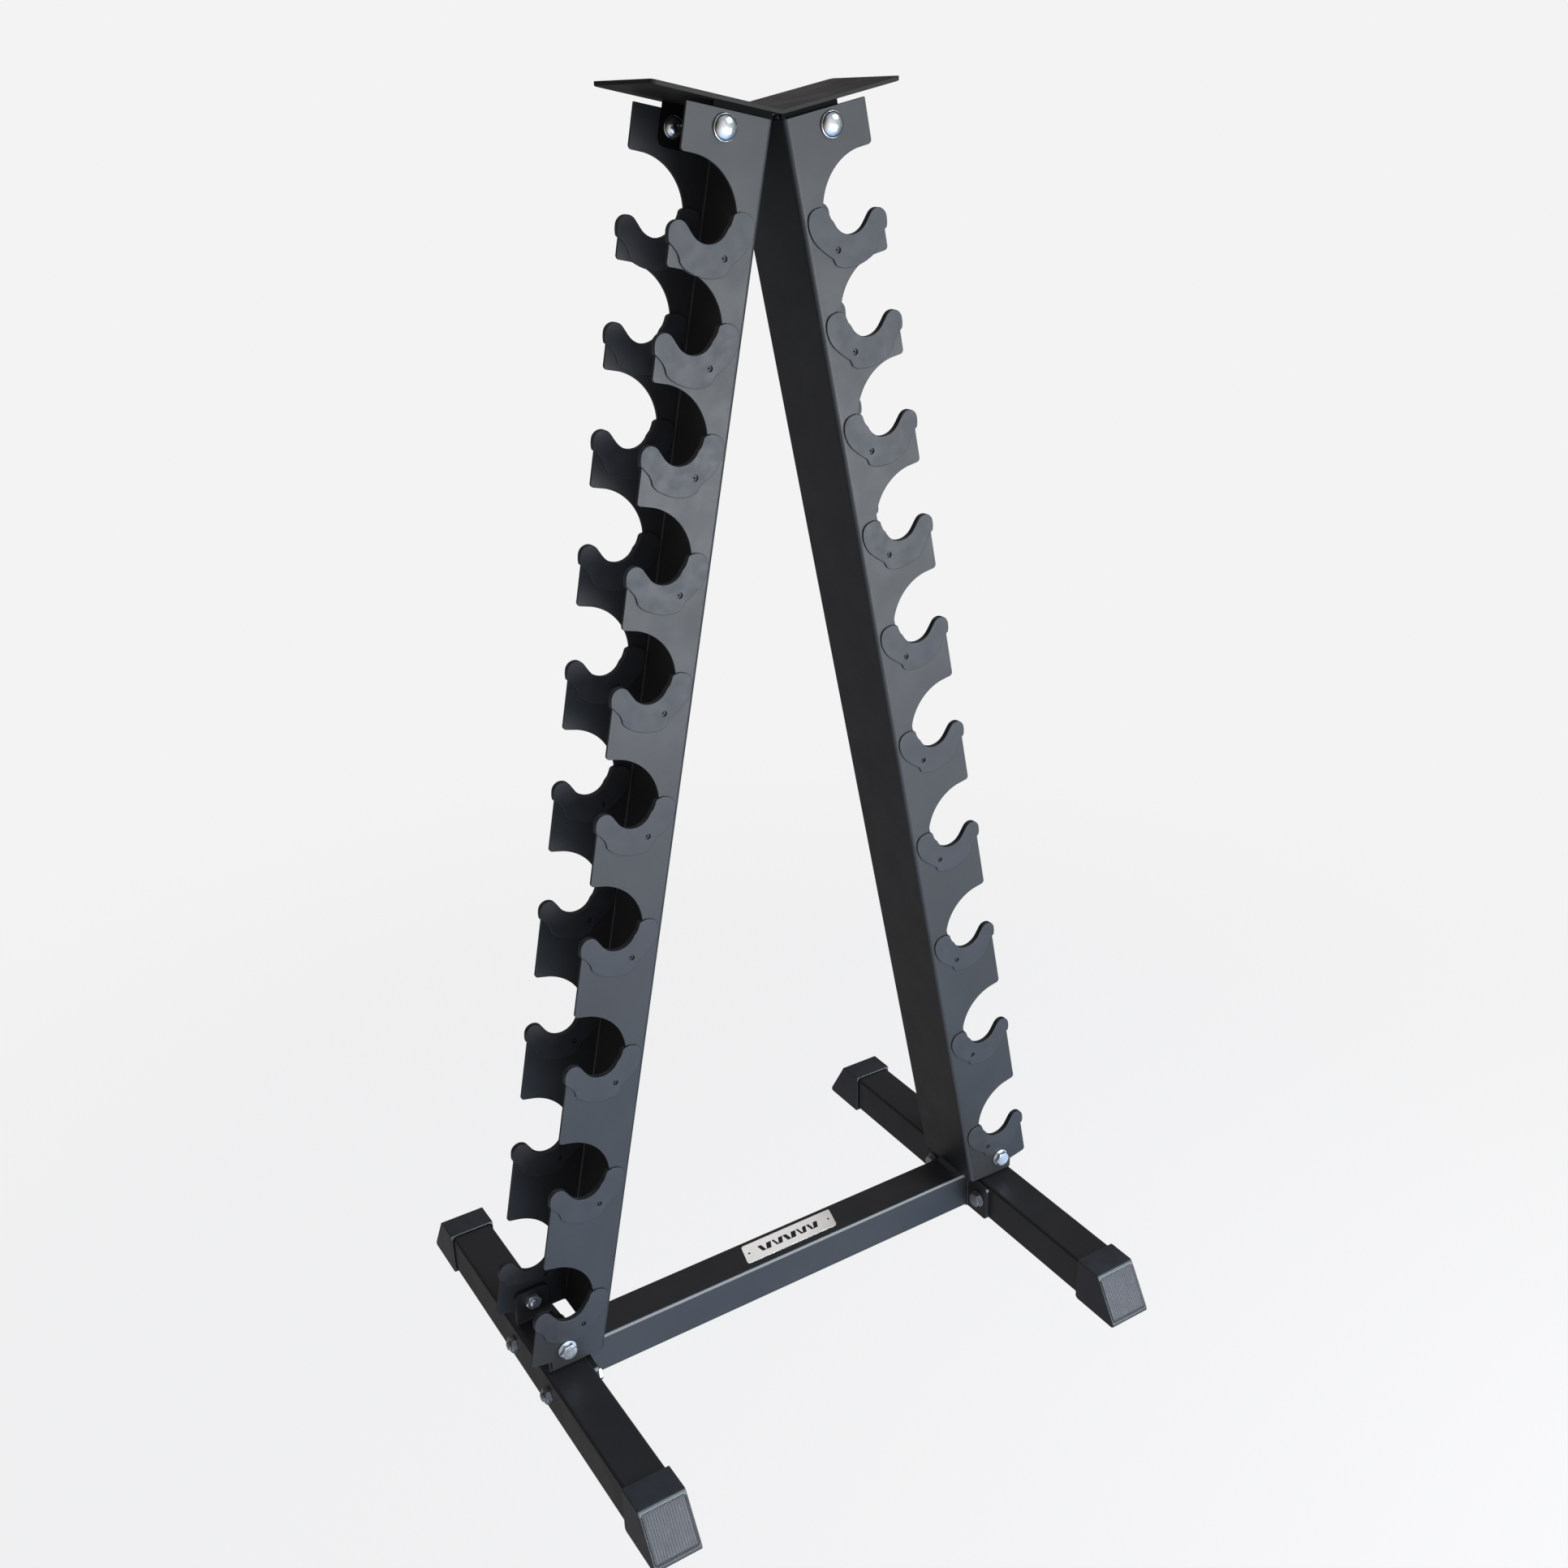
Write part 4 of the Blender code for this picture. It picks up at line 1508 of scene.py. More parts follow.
@dataclass
class Base:
    """Two foot tubes with folded brackets, and the crossbar between them."""

    channel: Channel
    coat: Material
    # Crossbar coat with a painted highlight on rounded edges that face forward and up.
    highlight_coat: Material
    tube: float = 0.050
    wall: float = 0.0025
    radius: float = 0.004
    foot_x: float = 0.3075
    foot_half: float = 0.262
    sole: float = 0.004
    bracket_half_width: float = 0.021
    bracket_top: float = 0.0985
    bracket_thick: float = 0.004
    bracket_bend: float = 0.006
    bracket_corner: float = 0.007
    plate_half: float = 0.0635
    plate_thick: float = 0.005
    plate_low: float = 0.0045
    plate_top: float = 0.0505
    plate_radius: float = 0.005
    weld_step: float = 0.0022
    weld_radius: float = 0.0020
    edge: float = 0.0005

    @property
    def middle(self) -> float:
        """Height of the tubes' axes."""
        return self.sole + self.tube / 2

    def tube_rings(self, x: float) -> tuple[list[Point], list[Point]]:
        """Outer and inner outlines of a tube.

        Args:
            x: Middle of the tube across its length.

        Returns:
            The outer and the inner outline.
        """
        outer = rounded_box((x, self.middle), self.tube, self.tube, self.radius, 6)
        bore = self.tube - 2 * self.wall
        inner = rounded_box((x, self.middle), bore, bore, self.radius - self.wall, 6)
        return outer, inner

    def foot(self) -> Mesh:
        """Right-hand foot tube along Y.

        Returns:
            The tube's mesh.
        """
        outer, inner = self.tube_rings(self.foot_x)
        end = self.foot_half
        series = ((outer, -end), (outer, end), (inner, end), (inner, -end))
        return Blank().loop(series, Along.Y).data("foot_tube")

    def bracket(self) -> Mesh:
        """Right-hand folded bracket that the channel is bolted to.

        Returns:
            The bracket's mesh.
        """
        out = self.channel.inner_face
        base = self.sole + self.tube
        bend, thick = self.bracket_bend, self.bracket_thick
        tight = bend - thick
        points = arc((bend - out, base + bend), bend, 180.0, 270.0, 5)
        points += arc((out - bend, base + bend), bend, 270.0, 360.0, 5)
        points += [(out, self.bracket_top), (out - thick, self.bracket_top)]
        points += arc((out - bend, base + bend), tight, 360.0, 270.0, 4)
        points += arc((bend - out, base + bend), tight, 270.0, 180.0, 4)
        points += [(thick - out, self.bracket_top), (-out, self.bracket_top)]
        half = self.bracket_half_width
        fold = Blank().prism(points, self.foot_x - half, self.foot_x + half, Along.X)
        rise = self.bracket_top - base + 0.03
        centre = (self.foot_x, self.bracket_top - rise / 2)
        front = rounded_box(centre, 2 * half, rise, self.bracket_corner, 5)
        shape = Blank().prism(front, -out - 0.01, out + 0.01, Along.Y)
        return combined(fold.data("bracket"), shape.data("bracket_front"), "INTERSECT")

    def end_plate(self) -> list[Point]:
        """Outline of the crossbar's end plates in YZ.

        Returns:
            The outline.
        """
        height = self.plate_top - self.plate_low
        centre = (0.0, self.plate_low + height / 2)
        return rounded_box(centre, 2 * self.plate_half, height, self.plate_radius, 6)

    def crossbar(self) -> Mesh:
        """Crossbar along X with an end plate at each end.

        Returns:
            The crossbar's mesh.
        """
        outer, inner = self.tube_rings(0.0)
        end = self.foot_x - self.tube / 2 - self.channel.fit
        step = end - self.plate_thick
        plate = self.end_plate()
        series = (
            (plate, -end), (plate, -step), (outer, -step), (outer, step),
            (plate, step), (plate, end), (inner, end), (inner, -end),
        )
        return Blank().loop(series, Along.X).data("crossbar_tube")

    def seam(self, points: Sequence[Vector]) -> Mesh:
        """Lays a weld bead along a chain of points.

        Args:
            points: Chain of points along the seam.

        Returns:
            The bead's mesh.
        """
        path = bpy.data.meshes.new("seam")
        path.from_pydata(points, [(i, i + 1) for i in range(len(points) - 1)], [])
        return weld_tree().run(path, {
            "Step": self.weld_step, "Radius": self.weld_radius, "Finish": self.coat,
        })

    def welds(self) -> Mesh:
        """Beads on the right-hand side: crossbar to end plate, bracket to foot.

        Returns:
            All beads of the right-hand side as one mesh.
        """
        end = self.foot_x - self.tube / 2 - self.channel.fit - self.plate_thick
        ring = self.tube_rings(0.0)[0]
        joint = [Along.X.place(u, v, end) for u, v in [*ring, ring[0]]]
        beads = [self.seam(joint)]
        top = self.sole + self.tube
        reach = self.channel.inner_face - self.bracket_bend - 0.004
        for side in Side:
            x = self.foot_x + side.value * (self.bracket_half_width + 0.0002)
            beads.append(self.seam([Vector((x, -reach, top)), Vector((x, reach, top))]))
        return gathered("welds_right", beads)

    def build(self) -> None:
        """Makes and mounts the feet, brackets, crossbar and welds."""
        foot = gathered("foot_right", (self.foot(), self.bracket()))
        feet = (("right", foot), ("left", reflected(foot, "foot_left", 0)))
        for side, data in feet:
            name = f"foot_{side}"
            Piece(f"{name}_tube", data, self.coat, SLOT_COAT, (name,), self.edge).fit()
        bar = self.crossbar()
        # The crossbar's coat paints a highlight along its rounded top front edge.
        Piece("crossbar_tube", bar, self.highlight_coat, SLOT_COAT, ("crossbar",), self.edge).fit()
        welds = self.welds()
        for side, data in (("right", welds), ("left", reflected(welds, "welds_left", 0))):
            Piece(f"weld_beads_{side}", data, self.coat, SLOT_COAT, crease=80.0).fit()


@dataclass
class EndCaps:
    """Plastic sleeves on the tube ends, with a raked and ribbed end face."""

    base: Base
    plastic: Material
    # Bluer plastic for the ribs; its tint paints the cool sheen on the raked end face.
    panel: Material
    start: float = 0.231
    wall: float = 0.0024
    toe: float = 0.2970
    heel_y: float = 0.2670
    toe_lift: float = 0.0055
    toe_run: float = 0.0025
    toe_rise: float = 0.0020
    toe_rake: float = 0.0004
    heel_drop: float = 0.0022
    heel_run: float = 0.0028
    mouth: float = 0.003
    inset: float = 0.0036
    sink: float = 0.0008
    rib_count: int = 15
    rib_pitch: float = 0.00310
    rib_radius: float = 0.0030
    rib_rise: float = 0.00020
    rib_flat: float = 0.3
    edge: float = 0.0012

    def profile(self) -> list[Point]:
        """Side view of the right rear cap in (y, z).

        Returns:
            The outline.
        """
        top = self.base.sole + self.base.tube + self.base.channel.fit + self.wall
        return [
            (self.start, self.mouth), (self.start + self.mouth, 0.0),
            (self.toe - self.toe_run, 0.0), (self.toe, self.toe_rise),
            (self.toe - self.toe_rake, self.toe_lift), (self.heel_y, top - self.heel_drop),
            (self.heel_y - self.heel_run, top), (self.start, top),
        ]

    def shell(self) -> Mesh:
        """Right rear cap with a sunken end panel and its bore.

        Returns:
            The cap's mesh.
        """
        half = self.base.tube / 2 + self.base.channel.fit + self.wall
        x = self.base.foot_x
        blank = Blank().prism(self.profile(), x - half, x + half, Along.X)
        mesh = blank.mesh
        mesh.faces.ensure_lookup_table()
        faces = [
            f for f in mesh.faces
            if f.normal.y > 0.6 and f.normal.z > 0.3 and f.calc_area() > 1e-3
        ]
        bmesh.ops.inset_region(mesh, faces=faces, thickness=self.inset, depth=0.0)
        bmesh.ops.inset_region(mesh, faces=faces, thickness=self.sink, depth=-self.sink)
        data = blank.data("cap")
        fit = self.base.channel.fit
        size = self.base.tube + 2 * fit
        bore = rounded_box((x, self.base.middle), size, size, self.base.radius, 6)
        tool = Blank().prism(bore, self.start - 0.01, self.base.foot_half + fit, Along.Y)
        return combined(data, tool.data("cap_bore"), "DIFFERENCE")

    def ribs(self) -> Mesh:
        """Ribs across the sunken panel of the right rear cap.

        Returns:
            The ribs as one mesh.
        """
        top = self.base.sole + self.base.tube + self.base.channel.fit + self.wall
        low = Vector((0.0, self.toe - self.toe_rake, self.toe_lift))
        high = Vector((0.0, self.heel_y, top - self.heel_drop))
        rise = (high - low).normalized()
        out = Vector((1.0, 0.0, 0.0)).cross(rise).normalized()
        out = out if out.y > 0 else -out
        length = (high - low).length - 2 * self.inset - 2 * self.sink
        middle = (low + high) / 2
        middle -= out * (self.sink + self.rib_radius * self.rib_flat - self.rib_rise)
        first = self.base.foot_x - (self.rib_count - 1) / 2 * self.rib_pitch
        flat = out * self.rib_flat
        turn = Matrix((
            (1.0, flat.x, rise.x, first), (0.0, flat.y, rise.y, middle.y),
            (0.0, flat.z, rise.z, middle.z), (0.0, 0.0, 0.0, 1.0),
        ))
        data = rib_tree().run(bpy.data.meshes.new("rib_base"), {
            "Count": self.rib_count, "Pitch": self.rib_pitch, "Radius": self.rib_radius,
            "Length": length, "Finish": self.panel,
        })
        data.transform(turn)
        if turn.determinant() < 0:
            data.flip_normals()
        return data

    def build(self) -> None:
        """Makes and mounts all four caps."""
        shell, ribs = self.shell(), self.ribs()
        for side in Side:
            for end in End:
                name = f"cap_{side.name.lower()}_{end.name.lower()}"
                made = []
                for data in (shell, ribs):
                    copy = data.copy()
                    if side is Side.LEFT:
                        copy = reflected(copy, name, 0)
                    if end is End.FRONT:
                        copy = reflected(copy, name, 1)
                    made.append(copy)
                Piece(
                    f"{name}_moulding", made[0], self.plastic, SLOT_CAP, (name,), self.edge
                ).fit()
                Piece(f"{name}_ribs", made[1], self.panel, SLOT_CAP, crease=50.0).fit()


@dataclass
class Fasteners:
    """Chrome domed bolts at the top, zinc hex bolts at the foot and in the base."""

    channel: Channel
    base: Base
    chrome: Material
    zinc: Material
    worn: Material
    count: int = 48
    dome_radius: float = 0.0120
    dome_height: float = 0.0072
    nut_radius: float = 0.0104
    shank: float = 0.006
    hex_across: float = 0.017
    hex_height: float = 0.0062
    washer: float = 0.0108
    low_shank: float = 0.005
    flange: float = 0.0016
    flange_step: float = 0.0007
    washer_thick: float = 0.0016
    washer_edge: float = 0.0002
    hex_blunt: float = 0.97
    hex_face: float = 0.80
    chamfer_low: float = 0.0011
    chamfer_high: float = 0.0005
    pitch: float = 0.0010
    thread_depth: float = 0.0006
    stub: float = 0.003
    backing: float = 0.004
    base_y: float = 0.047
    base_z: float = 0.029

    def dome(self, seat: float, radius: float, height: float, sign: float) -> list[Ring]:
        """Rings of a domed head with a thin flange.

        Args:
            seat: Depth of the face that the head sits on.
            radius: Radius of the flange.
            height: Height over the seat.
            sign: Direction in which the head rises.

        Returns:
            The rings from the seat to the crown.
        """
        rim = self.flange
        inner = radius - self.flange_step
        rings = [(radius - 0.0003, 0.0), (radius, 0.0003), (radius, rim - 0.0004)]
        rings += [(radius - 0.0004, rim), (inner, rim)]
        for step in range(1, 9):
            angle = math.radians(90.0 * step / 9)
            rings.append((inner * math.cos(angle), rim + (height - rim) * math.sin(angle)))
        rings.append((inner * 0.05, height))
        return [(circle(r, self.count), seat + sign * h) for r, h in rings]

    def hexed(self, seat: float, sign: float, washer: bool) -> list[Ring]:
        """Rings of a chamfered hexagon head or nut, from its seat outwards.

        Args:
            seat: Depth of the face that it sits on.
            sign: Direction in which it rises.
            washer: Whether a washer lies under it.

        Returns:
            The rings from the seat outwards.
        """
        rings: list[Ring] = []
        rise = 0.0
        if washer:
            rise, edge = self.washer_thick, self.washer_edge
            for radius, height in (
                (self.washer - edge, 0.0), (self.washer, edge),
                (self.washer, rise - edge), (self.washer - edge, rise),
            ):
                rings.append((circle(radius, self.count), seat + sign * height))
        limit = self.hex_across / 2
        corner = limit / math.cos(math.radians(30.0))
        blunt = limit * self.hex_blunt
        top = self.hex_height
        for cut, height in (
            (corner, 0.0), (corner, top - self.chamfer_low),
            (blunt + (corner - blunt) * 0.5, top - self.chamfer_high), (blunt, top),
        ):
            shape = hexagon(self.hex_across, self.count, cut)
            rings.append((shape, seat + sign * (rise + height)))
        rings.append((circle(limit * self.hex_face, self.count), seat + sign * (rise + top)))
        return rings

    def thread(self, start: float, length: float, sign: float) -> list[Ring]:
        """Rings of a threaded stub that stands out of a nut.

        Args:
            start: Depth at which the stub leaves the nut.
            length: Length that stands out.
            sign: Direction in which it points.

        Returns:
            The rings.
        """
        rings: list[Ring] = []
        valley = self.low_shank - self.thread_depth
        for turn in range(int(length / self.pitch)):
            for radius, part in ((valley, 0.0), (self.low_shank, 0.5)):
                depth = start + sign * (turn + part) * self.pitch
                rings.append((circle(radius, self.count), depth))
        rings.append((circle(self.low_shank - 0.0010, self.count), start + sign * length))
        return rings

    def top_bolt(self) -> Mesh:
        """Domed bolt and domed nut on the front flange, along Y.

        Returns:
            The bolt's mesh.
        """
        seat = -(self.channel.depth / 2 + self.channel.fit)
        inner = -(self.channel.inner_face - self.backing - self.channel.fit)
        head = self.dome(seat, self.dome_radius, self.dome_height, -1.0)
        nut = self.dome(inner, self.nut_radius, self.dome_height, 1.0)
        shank = [(circle(self.shank, self.count), depth) for depth in (seat, inner)]
        series = [*reversed(head), *shank, *nut]
        return Blank().stack(series, Along.Y).data("top_bolt")

    def low_bolt(self) -> Mesh:
        """Hex bolt, washer and nut on the front flange, along Y.

        Returns:
            The bolt's mesh.
        """
        seat = -(self.channel.depth / 2 + self.channel.fit)
        inner = -(self.channel.inner_face - self.backing - self.channel.fit)
        return self.through_bolt(seat, inner)

    def through_bolt(self, seat: float, far: float) -> Mesh:
        """Hex bolt whose head sits on one face and whose nut sits on the other.

        Args:
            seat: Depth of the head's face; the head rises towards lower depths.
            far: Depth of the nut's face.

        Returns:
            The bolt along the depth axis Y.
        """
        head = self.hexed(seat, -1.0, True)
        nut = self.hexed(far, 1.0, False)
        shank = [(circle(self.low_shank, self.count), depth) for depth in (seat, far)]
        stub = self.thread(far + self.hex_height, self.stub, 1.0)
        series = [*reversed(head), *shank, *nut, *stub]
        return Blank().stack(series, Along.Y).data("hex_bolt")

    def build(self) -> None:
        """Makes and mounts every fastener."""
        quarter = math.pi / 2
        for name, shape, spot, finish, slot in (
            ("top_bolt", self.top_bolt(), self.channel.top_bolt, self.chrome, SLOT_CHROME),
            ("low_bolt", self.low_bolt(), self.channel.low_bolt, self.zinc, SLOT_ZINC),
        ):
            x, z = self.channel.world(*spot)
            places = []
            for side in Side:
                for turn in (0.0, math.pi):
                    places.append((Vector((side.value * x, 0.0, z)), (0.0, 0.0, turn)))
            data = Copies(shape, finish).at(places)
            Piece(f"{name}s", data, finish, slot, nodes_of(name), crease=25.0).fit()
        inner = self.base.foot_x - self.base.tube / 2 - self.channel.fit - self.base.plate_thick
        outer = self.base.foot_x + self.base.tube / 2
        bolt = self.through_bolt(inner - self.channel.fit, outer + self.channel.fit)
        places = []
        for side in Side:
            for end in End:
                spot = Vector((0.0, end.value * self.base_y, self.base_z))
                places.append((spot, (0.0, 0.0, -side.value * quarter)))
        data = Copies(bolt, self.worn).at(places)
        Piece("base_bolts", data, self.worn, SLOT_ZINC, crease=25.0).fit()


@dataclass
class InfoPlate:
    """Silver plate with slanted ends on the crossbar, with a plain row of printed bars."""

    base: Base
    foil: Material
    ink: Material
    width: float = 0.130
    height: float = 0.031
    thick: float = 0.0003
    centre: Point = (0.0167, 0.0015)
    lean: float = 0.27
    corner: float = 0.003
    ink_thick: float = 0.00006
    bars: tuple[tuple[float, float], ...] = (
        (-0.0400, 0.0052), (-0.0300, 0.0068), (-0.0205, 0.0030), (-0.0130, 0.0060),
        (-0.0035, 0.0052), (0.0060, 0.0068), (0.0150, 0.0030), (0.0220, 0.0052),
        (0.0305, 0.0036), (0.0385, 0.0060),
    )
    bar_height: float = 0.0105
    bar_lean: float = 0.45
    dot_place: float = 0.0580
    dot_radius: float = 0.0015

    def build(self) -> None:
        """Makes and mounts the plate and its printing."""
        x, y = self.centre
        floor = self.base.sole + self.base.tube + self.base.channel.fit
        outline = [
            (u + self.lean * (v - y), v)
            for u, v in rounded_box(self.centre, self.width, self.height, self.corner, 5)
        ]
        plate = Blank().prism(outline, floor, floor + self.thick, Along.Z)
        Piece(
            "info_plate_foil", plate.data("foil"), self.foil, SLOT_LABEL,
            ("info_plate",), 0.00015,
        ).fit()
        low = floor + self.thick + 0.00002
        high = low + self.ink_thick
        print_run = Blank()
        for index, (place, wide) in enumerate(self.bars):
            tall = self.bar_height / 2
            slant = self.bar_lean * tall * (1 if index % 2 else -0.4)
            left, right = x + place - wide / 2, x + place + wide / 2
            print_run.prism([
                (left - slant, y - tall), (right - slant, y - tall),
                (right + slant, y + tall), (left + slant, y + tall),
            ], low, high, Along.Z)
        for side in Side:
            spot = (x + side.value * self.dot_place, y)
            print_run.prism(arc(spot, self.dot_radius, 0.0, 345.0, 23), low, high, Along.Z)
        Piece("info_plate_print", print_run.data("print"), self.ink, SLOT_LABEL).fit()


# ---------------------------------------------------------------- studio


@dataclass(frozen=True)
class SoftBox:
    """One rectangular studio light."""

    name: str
    place: tuple[float, float, float]
    aim: tuple[float, float, float]
    size: tuple[float, float]
    power: float
    colour: str

    def build(self) -> None:
        """Makes the light and turns it towards its aim."""
        lamp = bpy.data.lights.new(self.name, "AREA")
        lamp.shape = "RECTANGLE"
        lamp.size, lamp.size_y = self.size
        lamp.energy = self.power
        lamp.color = linear(self.colour)[:3]
        obj = linked(self.name, lamp)
        obj.location = self.place
        # A lamp shines along its own -Z.
        gaze = Vector(self.aim) - Vector(self.place)
        obj.rotation_euler = gaze.to_track_quat("-Z", "Y").to_euler()


@dataclass(frozen=True)
class SkyGlow:
    """A wide, soft patch of light in the surroundings."""

    towards: tuple[float, float, float]
    strength: float
    colour: str


@dataclass
class Studio:
    """Pale seamless floor, soft lights and surroundings, and the camera."""

    floor_colour: str = "#F3F3F3"
    floor_albedo: str = "#E6E6E6"
    floor_glow: float = 0.938
    floor_radius: float = 9.0
    bowl_radius: float = 3.0
    bowl_height: float = 12.0
    paper_near: float = 0.75
    paper_far: float = 1.9
    softness: float = 5.0
    sky_strength: float = 0.87
    camera_place: tuple[float, float, float] = (-0.80599, -1.32178, 1.3422)
    camera_yaw: float = 32.0593
    camera_pitch: float = 23.5016
    camera_roll: float = -1.2038
    lens: float = 36.018
    sensor: float = 36.0
    clip: Point = (0.02, 60.0)
    glows: tuple[SkyGlow, ...] = (
        SkyGlow((-1, -1, -1), 0.42, "#FFE3C0"),
        SkyGlow((-1, -1, 0), 0.15, "#FFFFF0"),
        SkyGlow((-1, 0, -1), 0.42, "#FAF0FF"),
        SkyGlow((-1, 1, -1), 0.08, "#E6FCFF"),
        SkyGlow((0, -1, -1), 1.74, "#AAD3FF"),
        SkyGlow((0, -1, 0), 1.04, "#FFF7F0"),
        SkyGlow((0, -1, 1), 0.40, "#CDDBF5"),
        SkyGlow((0, 0, 1), 0.50, "#FFFFFF"),
        SkyGlow((0, 1, -1), 0.13, "#FFF0D5"),
        SkyGlow((0, 1, 0), 0.30, "#EEF3FF"),
        SkyGlow((0, 1, 1), 0.09, "#FFC8A5"),
        SkyGlow((1, -1, -1), 0.32, "#96B9FF"),
        SkyGlow((1, -1, 0), 0.44, "#F3FFE6"),
        SkyGlow((1, -1, 1), 0.30, "#A5D2FF"),
        SkyGlow((1, 0, 0), 0.10, "#D7E6FF"),
        SkyGlow((1, 0, 1), 0.10, "#FFC8A0"),
    )
    lights: tuple[SoftBox, ...] = (
        SoftBox("window", (1.2, -3.2, 0.3), (0.0, 0.0, 0.7), (2.5, 1.2), 90.0, "#FAFCFF"),
        SoftBox("skylight", (1.42, -1.6, 2.6), (0.0, 0.0, 0.2), (0.9, 0.9), 30.0, "#E6F5FF"),
        SoftBox(
            "label_card", (1.16, 1.966, 1.966), (0.0, 0.0, 0.055), (0.45, 0.30), 0.44, "#FFFFFF"
        ),
    )

    def paper(self) -> Material:
        """Background paper that catches soft shadows near the rack only.

        Returns:
            The material: lit paper near the rack, evenly glowing paper further out.
        """
        made = bpy.data.materials.new("seamless_paper")
        made.use_nodes = True
        tree = made.node_tree
        tree.nodes.clear()
        white = linear(self.floor_colour)
        near = add_node(tree, "ShaderNodeBsdfPrincipled", {
            "Base Color": linear(self.floor_albedo), "Roughness": 0.95,
            "Specular IOR Level": 0.0, "Emission Color": white,
            "Emission Strength": self.floor_glow,
        })
        far = add_node(tree, "ShaderNodeEmission", {"Color": white, "Strength": 1.0})
        where = add_node(tree, "ShaderNodeTexCoord").outputs["Object"]
        reach = add_node(tree, "ShaderNodeVectorMath", {0: where}, operation="LENGTH")
        share = add_node(
            tree, "ShaderNodeMapRange",
            {
                "Value": reach.outputs["Value"], "From Min": self.paper_near,
                "From Max": self.paper_far,
            },
            interpolation_type="SMOOTHSTEP",
        )
        mix = add_node(tree, "ShaderNodeMixShader", {
            0: share.outputs["Result"], 1: near.outputs["BSDF"], 2: far.outputs["Emission"],
        })
        add_node(tree, "ShaderNodeOutputMaterial", {"Surface": mix.outputs["Shader"]})
        return made

    def floor(self) -> None:
        """Round floor that curves up into a wall; it only catches light and shadow."""
        centre = (self.floor_radius, self.bowl_radius)
        profile = arc(centre, self.bowl_radius, -90.0, 0.0, 12)
        profile.append((self.floor_radius + self.bowl_radius, self.bowl_height))
        rings = [
            ([(radius * u, radius * v) for u, v in circle(1.0, 96)], height - 0.0004)
            for radius, height in profile
        ]
        data = Blank().bowl(rings, Along.Z).data("studio_floor")
        data.shade_smooth()
        data.materials.append(self.paper())
        obj = linked("studio_floor", data)
        obj.visible_glossy = False
        obj.visible_diffuse = False
        obj.visible_shadow = False

    def surroundings(self) -> None:
        """Soft light from all round: wide patches, strongest low in front."""
        scene = bpy.context.scene
        world = bpy.data.worlds.new("studio")
        world.use_nodes = True
        tree = world.node_tree
        tree.nodes.clear()
        aim = add_node(tree, "ShaderNodeTexCoord").outputs["Generated"]
        total = None
        for glow in self.glows:
            middle = Vector(glow.towards).normalized()
            near = add_node(
                tree, "ShaderNodeVectorMath", {0: aim, 1: middle}, operation="DOT_PRODUCT"
            )
            front = add_node(
                tree, "ShaderNodeMath", {0: near.outputs["Value"], 1: 0.0}, operation="MAXIMUM"
            )
            fall = add_node(
                tree, "ShaderNodeMath", {0: front.outputs[0], 1: self.softness}, operation="POWER"
            )
            tint = Vector(linear(glow.colour)[:3]) * glow.strength
            lit = add_node(
                tree, "ShaderNodeVectorMath", {0: tint, "Scale": fall.outputs[0]},
                operation="SCALE",
            )
            if total is not None:
                lit = add_node(
                    tree, "ShaderNodeVectorMath", {0: total, 1: lit.outputs["Vector"]},
                    operation="ADD",
                )
            total = lit.outputs["Vector"]
        sky = add_node(
            tree, "ShaderNodeBackground", {"Color": total, "Strength": self.sky_strength}
        )
        add_node(tree, "ShaderNodeOutputWorld", {"Surface": sky.outputs["Background"]})
        scene.world = world
        scene.view_settings.view_transform = "Standard"
        scene.view_settings.look = "None"

    def camera(self) -> None:
        """Camera in front, to the left and a little above the middle of the rack."""
        data = bpy.data.cameras.new("studio_camera")
        data.lens = self.lens
        data.sensor_width = self.sensor
        data.clip_start, data.clip_end = self.clip
        obj = linked("studio_camera", data)
        turn = Matrix.Rotation(math.radians(-self.camera_yaw), 4, "Z")
        turn @= Matrix.Rotation(math.radians(90.0 - self.camera_pitch), 4, "X")
        turn @= Matrix.Rotation(math.radians(self.camera_roll), 4, "Z")
        obj.matrix_world = Matrix.Translation(self.camera_place) @ turn
        bpy.context.scene.camera = obj

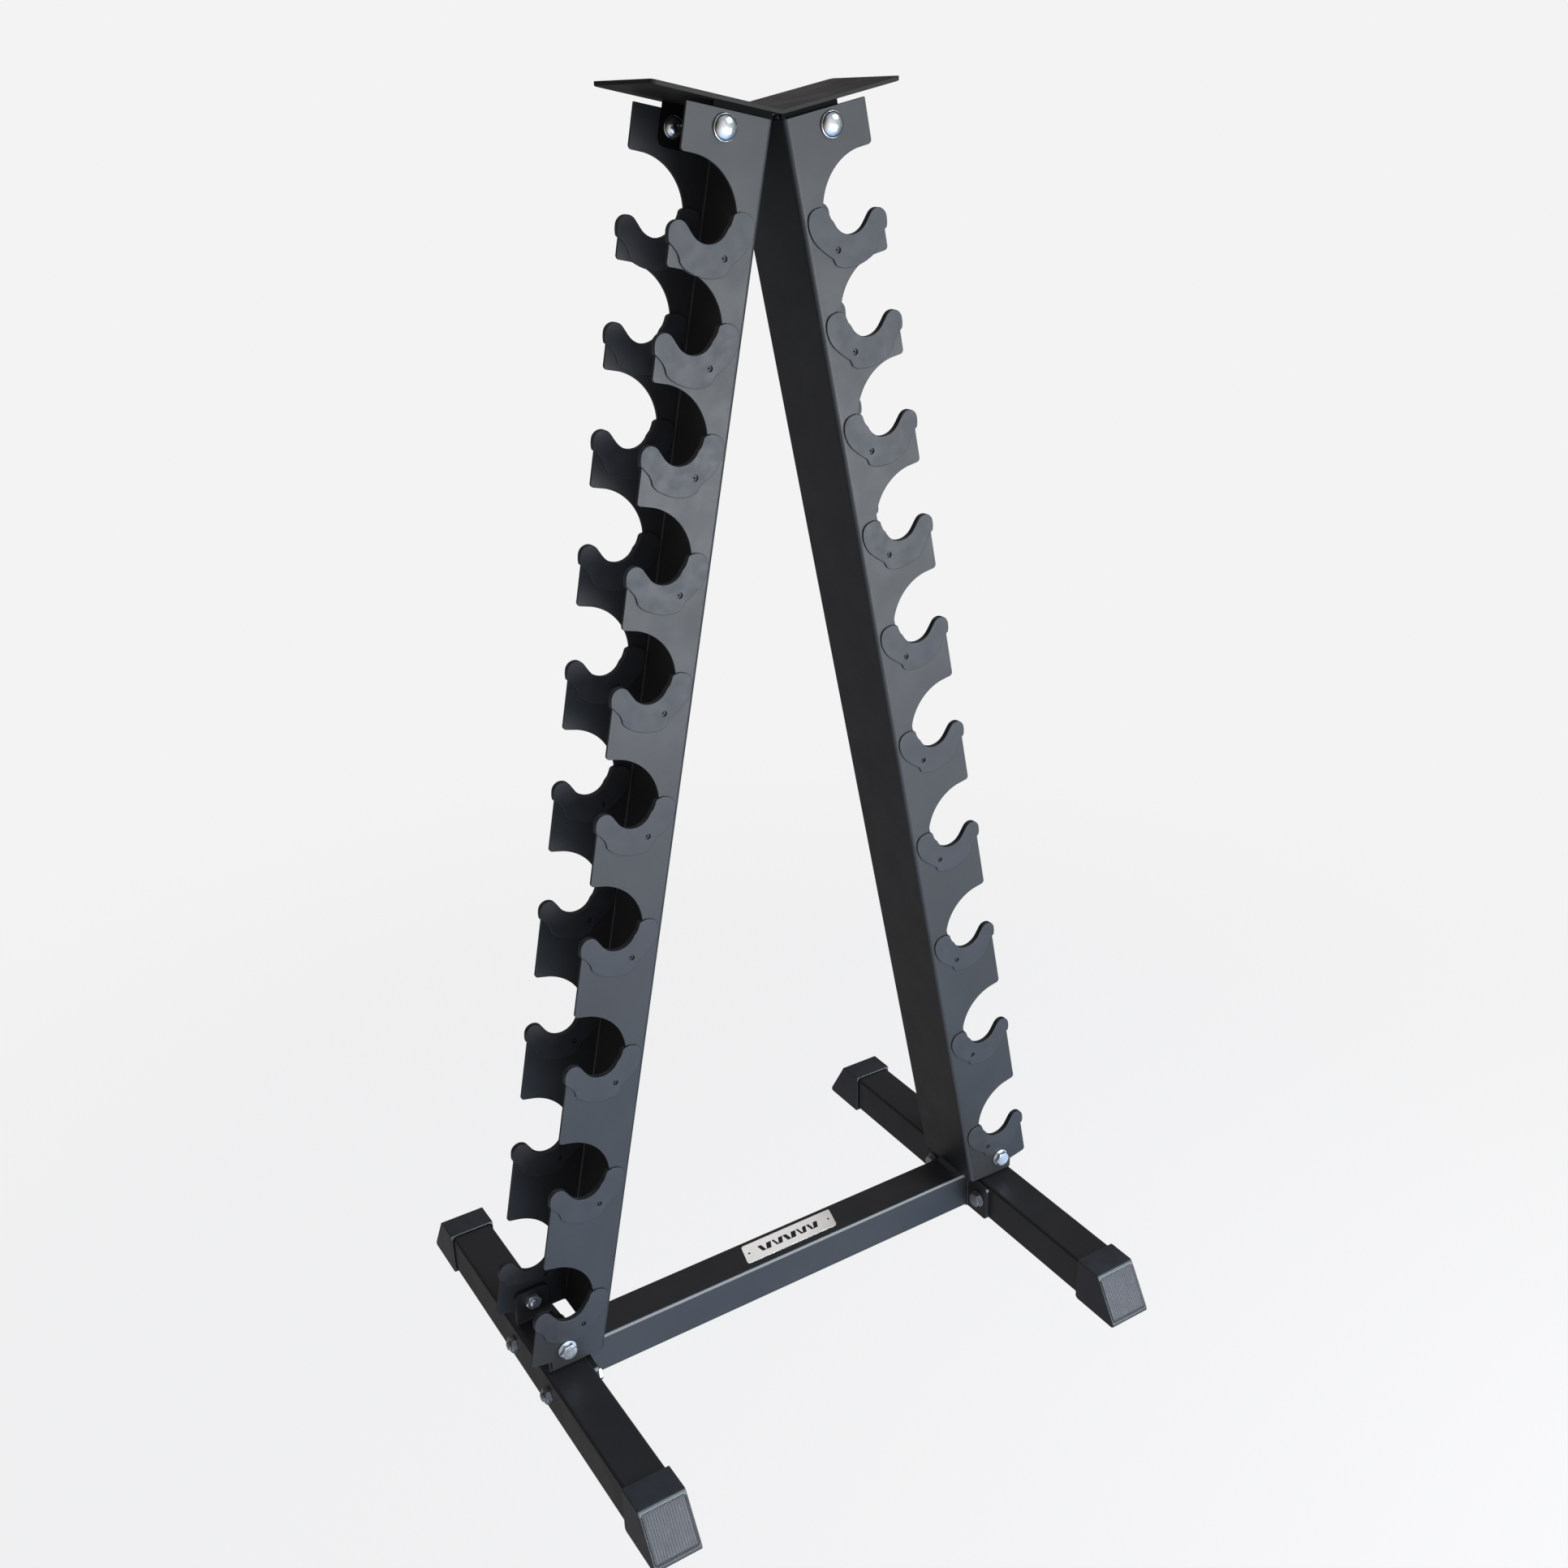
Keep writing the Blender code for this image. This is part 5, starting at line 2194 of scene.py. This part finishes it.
    def build(self) -> None:
        """Sets up the whole studio."""
        self.floor()
        self.surroundings()
        for light in self.lights:
            light.build()
        self.camera()


def main() -> None:
    """Builds the studio and then the rack, one sub-assembly after another."""
    logging.basicConfig(level=logging.INFO, format="%(message)s")
    Studio().build()
    coat = PowderCoat("powder_coated_steel", SLOT_COAT).material()
    # Crossbar coat with a painted highlight along its top front edge, not wear.
    highlight_coat = PowderCoat("powder_coated_steel_worn_edge", SLOT_COAT, painted_highlight="#8A8E92").material()
    top = PowderCoat(
        "powder_coated_steel_top", SLOT_COAT, dark="#1D1B18", light="#23211D", index=1.33,
        rough_low=0.46, rough_high=0.56,
    ).material()
    # Near-black, barely reflecting coat for the plate's ears: painted shade in the gap under the
    # plate.
    painted_shade_coat = PowderCoat(
        "primed_steel", SLOT_COAT, dark="#0E0E0E", light="#121212", index=1.15,
        rough_low=0.60, rough_high=0.70,
    ).material()
    liner = MouldedPlastic("moulded_polypropylene", SLOT_LINER).material()
    # Cap plastic whose pale lip colour paints a highlight along the top edge of its raked end face.
    cap = MouldedPlastic(
        "moulded_polyethylene_cap", SLOT_CAP, dark="#2F3238", light="#363A41",
        rough_low=0.36, rough_high=0.46, grain_depth=0.00005, lip="#656D6F",
    ).material()
    # Rib plastic tinted bluer: a painted reflection of the cool light that the raked end face
    # catches.
    panel = MouldedPlastic(
        "moulded_polyethylene_ribs", SLOT_CAP, dark="#262C37", light="#2C3440",
        rough_low=0.36, rough_high=0.44, grain_depth=0.00001,
    ).material()
    chrome = Plated("polished_chrome_plate", SLOT_CHROME).material()
    zinc = Plated(
        "clear_zinc_plate", SLOT_ZINC, dark="#DCE4EC", light="#EEF3F8",
        rough_low=0.32, rough_high=0.44, wave_depth=0.00001,
    ).material()
    worn = Plated(
        "dull_zinc_plate", SLOT_ZINC, dark="#A4AAB0", light="#B9BFC5",
        rough_low=0.30, rough_high=0.42, wave_depth=0.00001,
    ).material()
    foil = BrushedFoil("brushed_aluminium_foil", SLOT_LABEL).material()
    ink = PrintingInk("screen_printed_ink", SLOT_LABEL).material()
    channel = Channel()
    uprights = Uprights(channel, coat)
    uprights.build()
    Liners(channel, uprights, liner).build()
    TopPlate(channel, top, painted_shade_coat).build()
    base = Base(channel, coat, highlight_coat)
    base.build()
    EndCaps(base, cap, panel).build()
    Fasteners(channel, base, chrome, zinc, worn).build()
    InfoPlate(base, foil, ink).build()


if __name__ == "__main__":
    main()
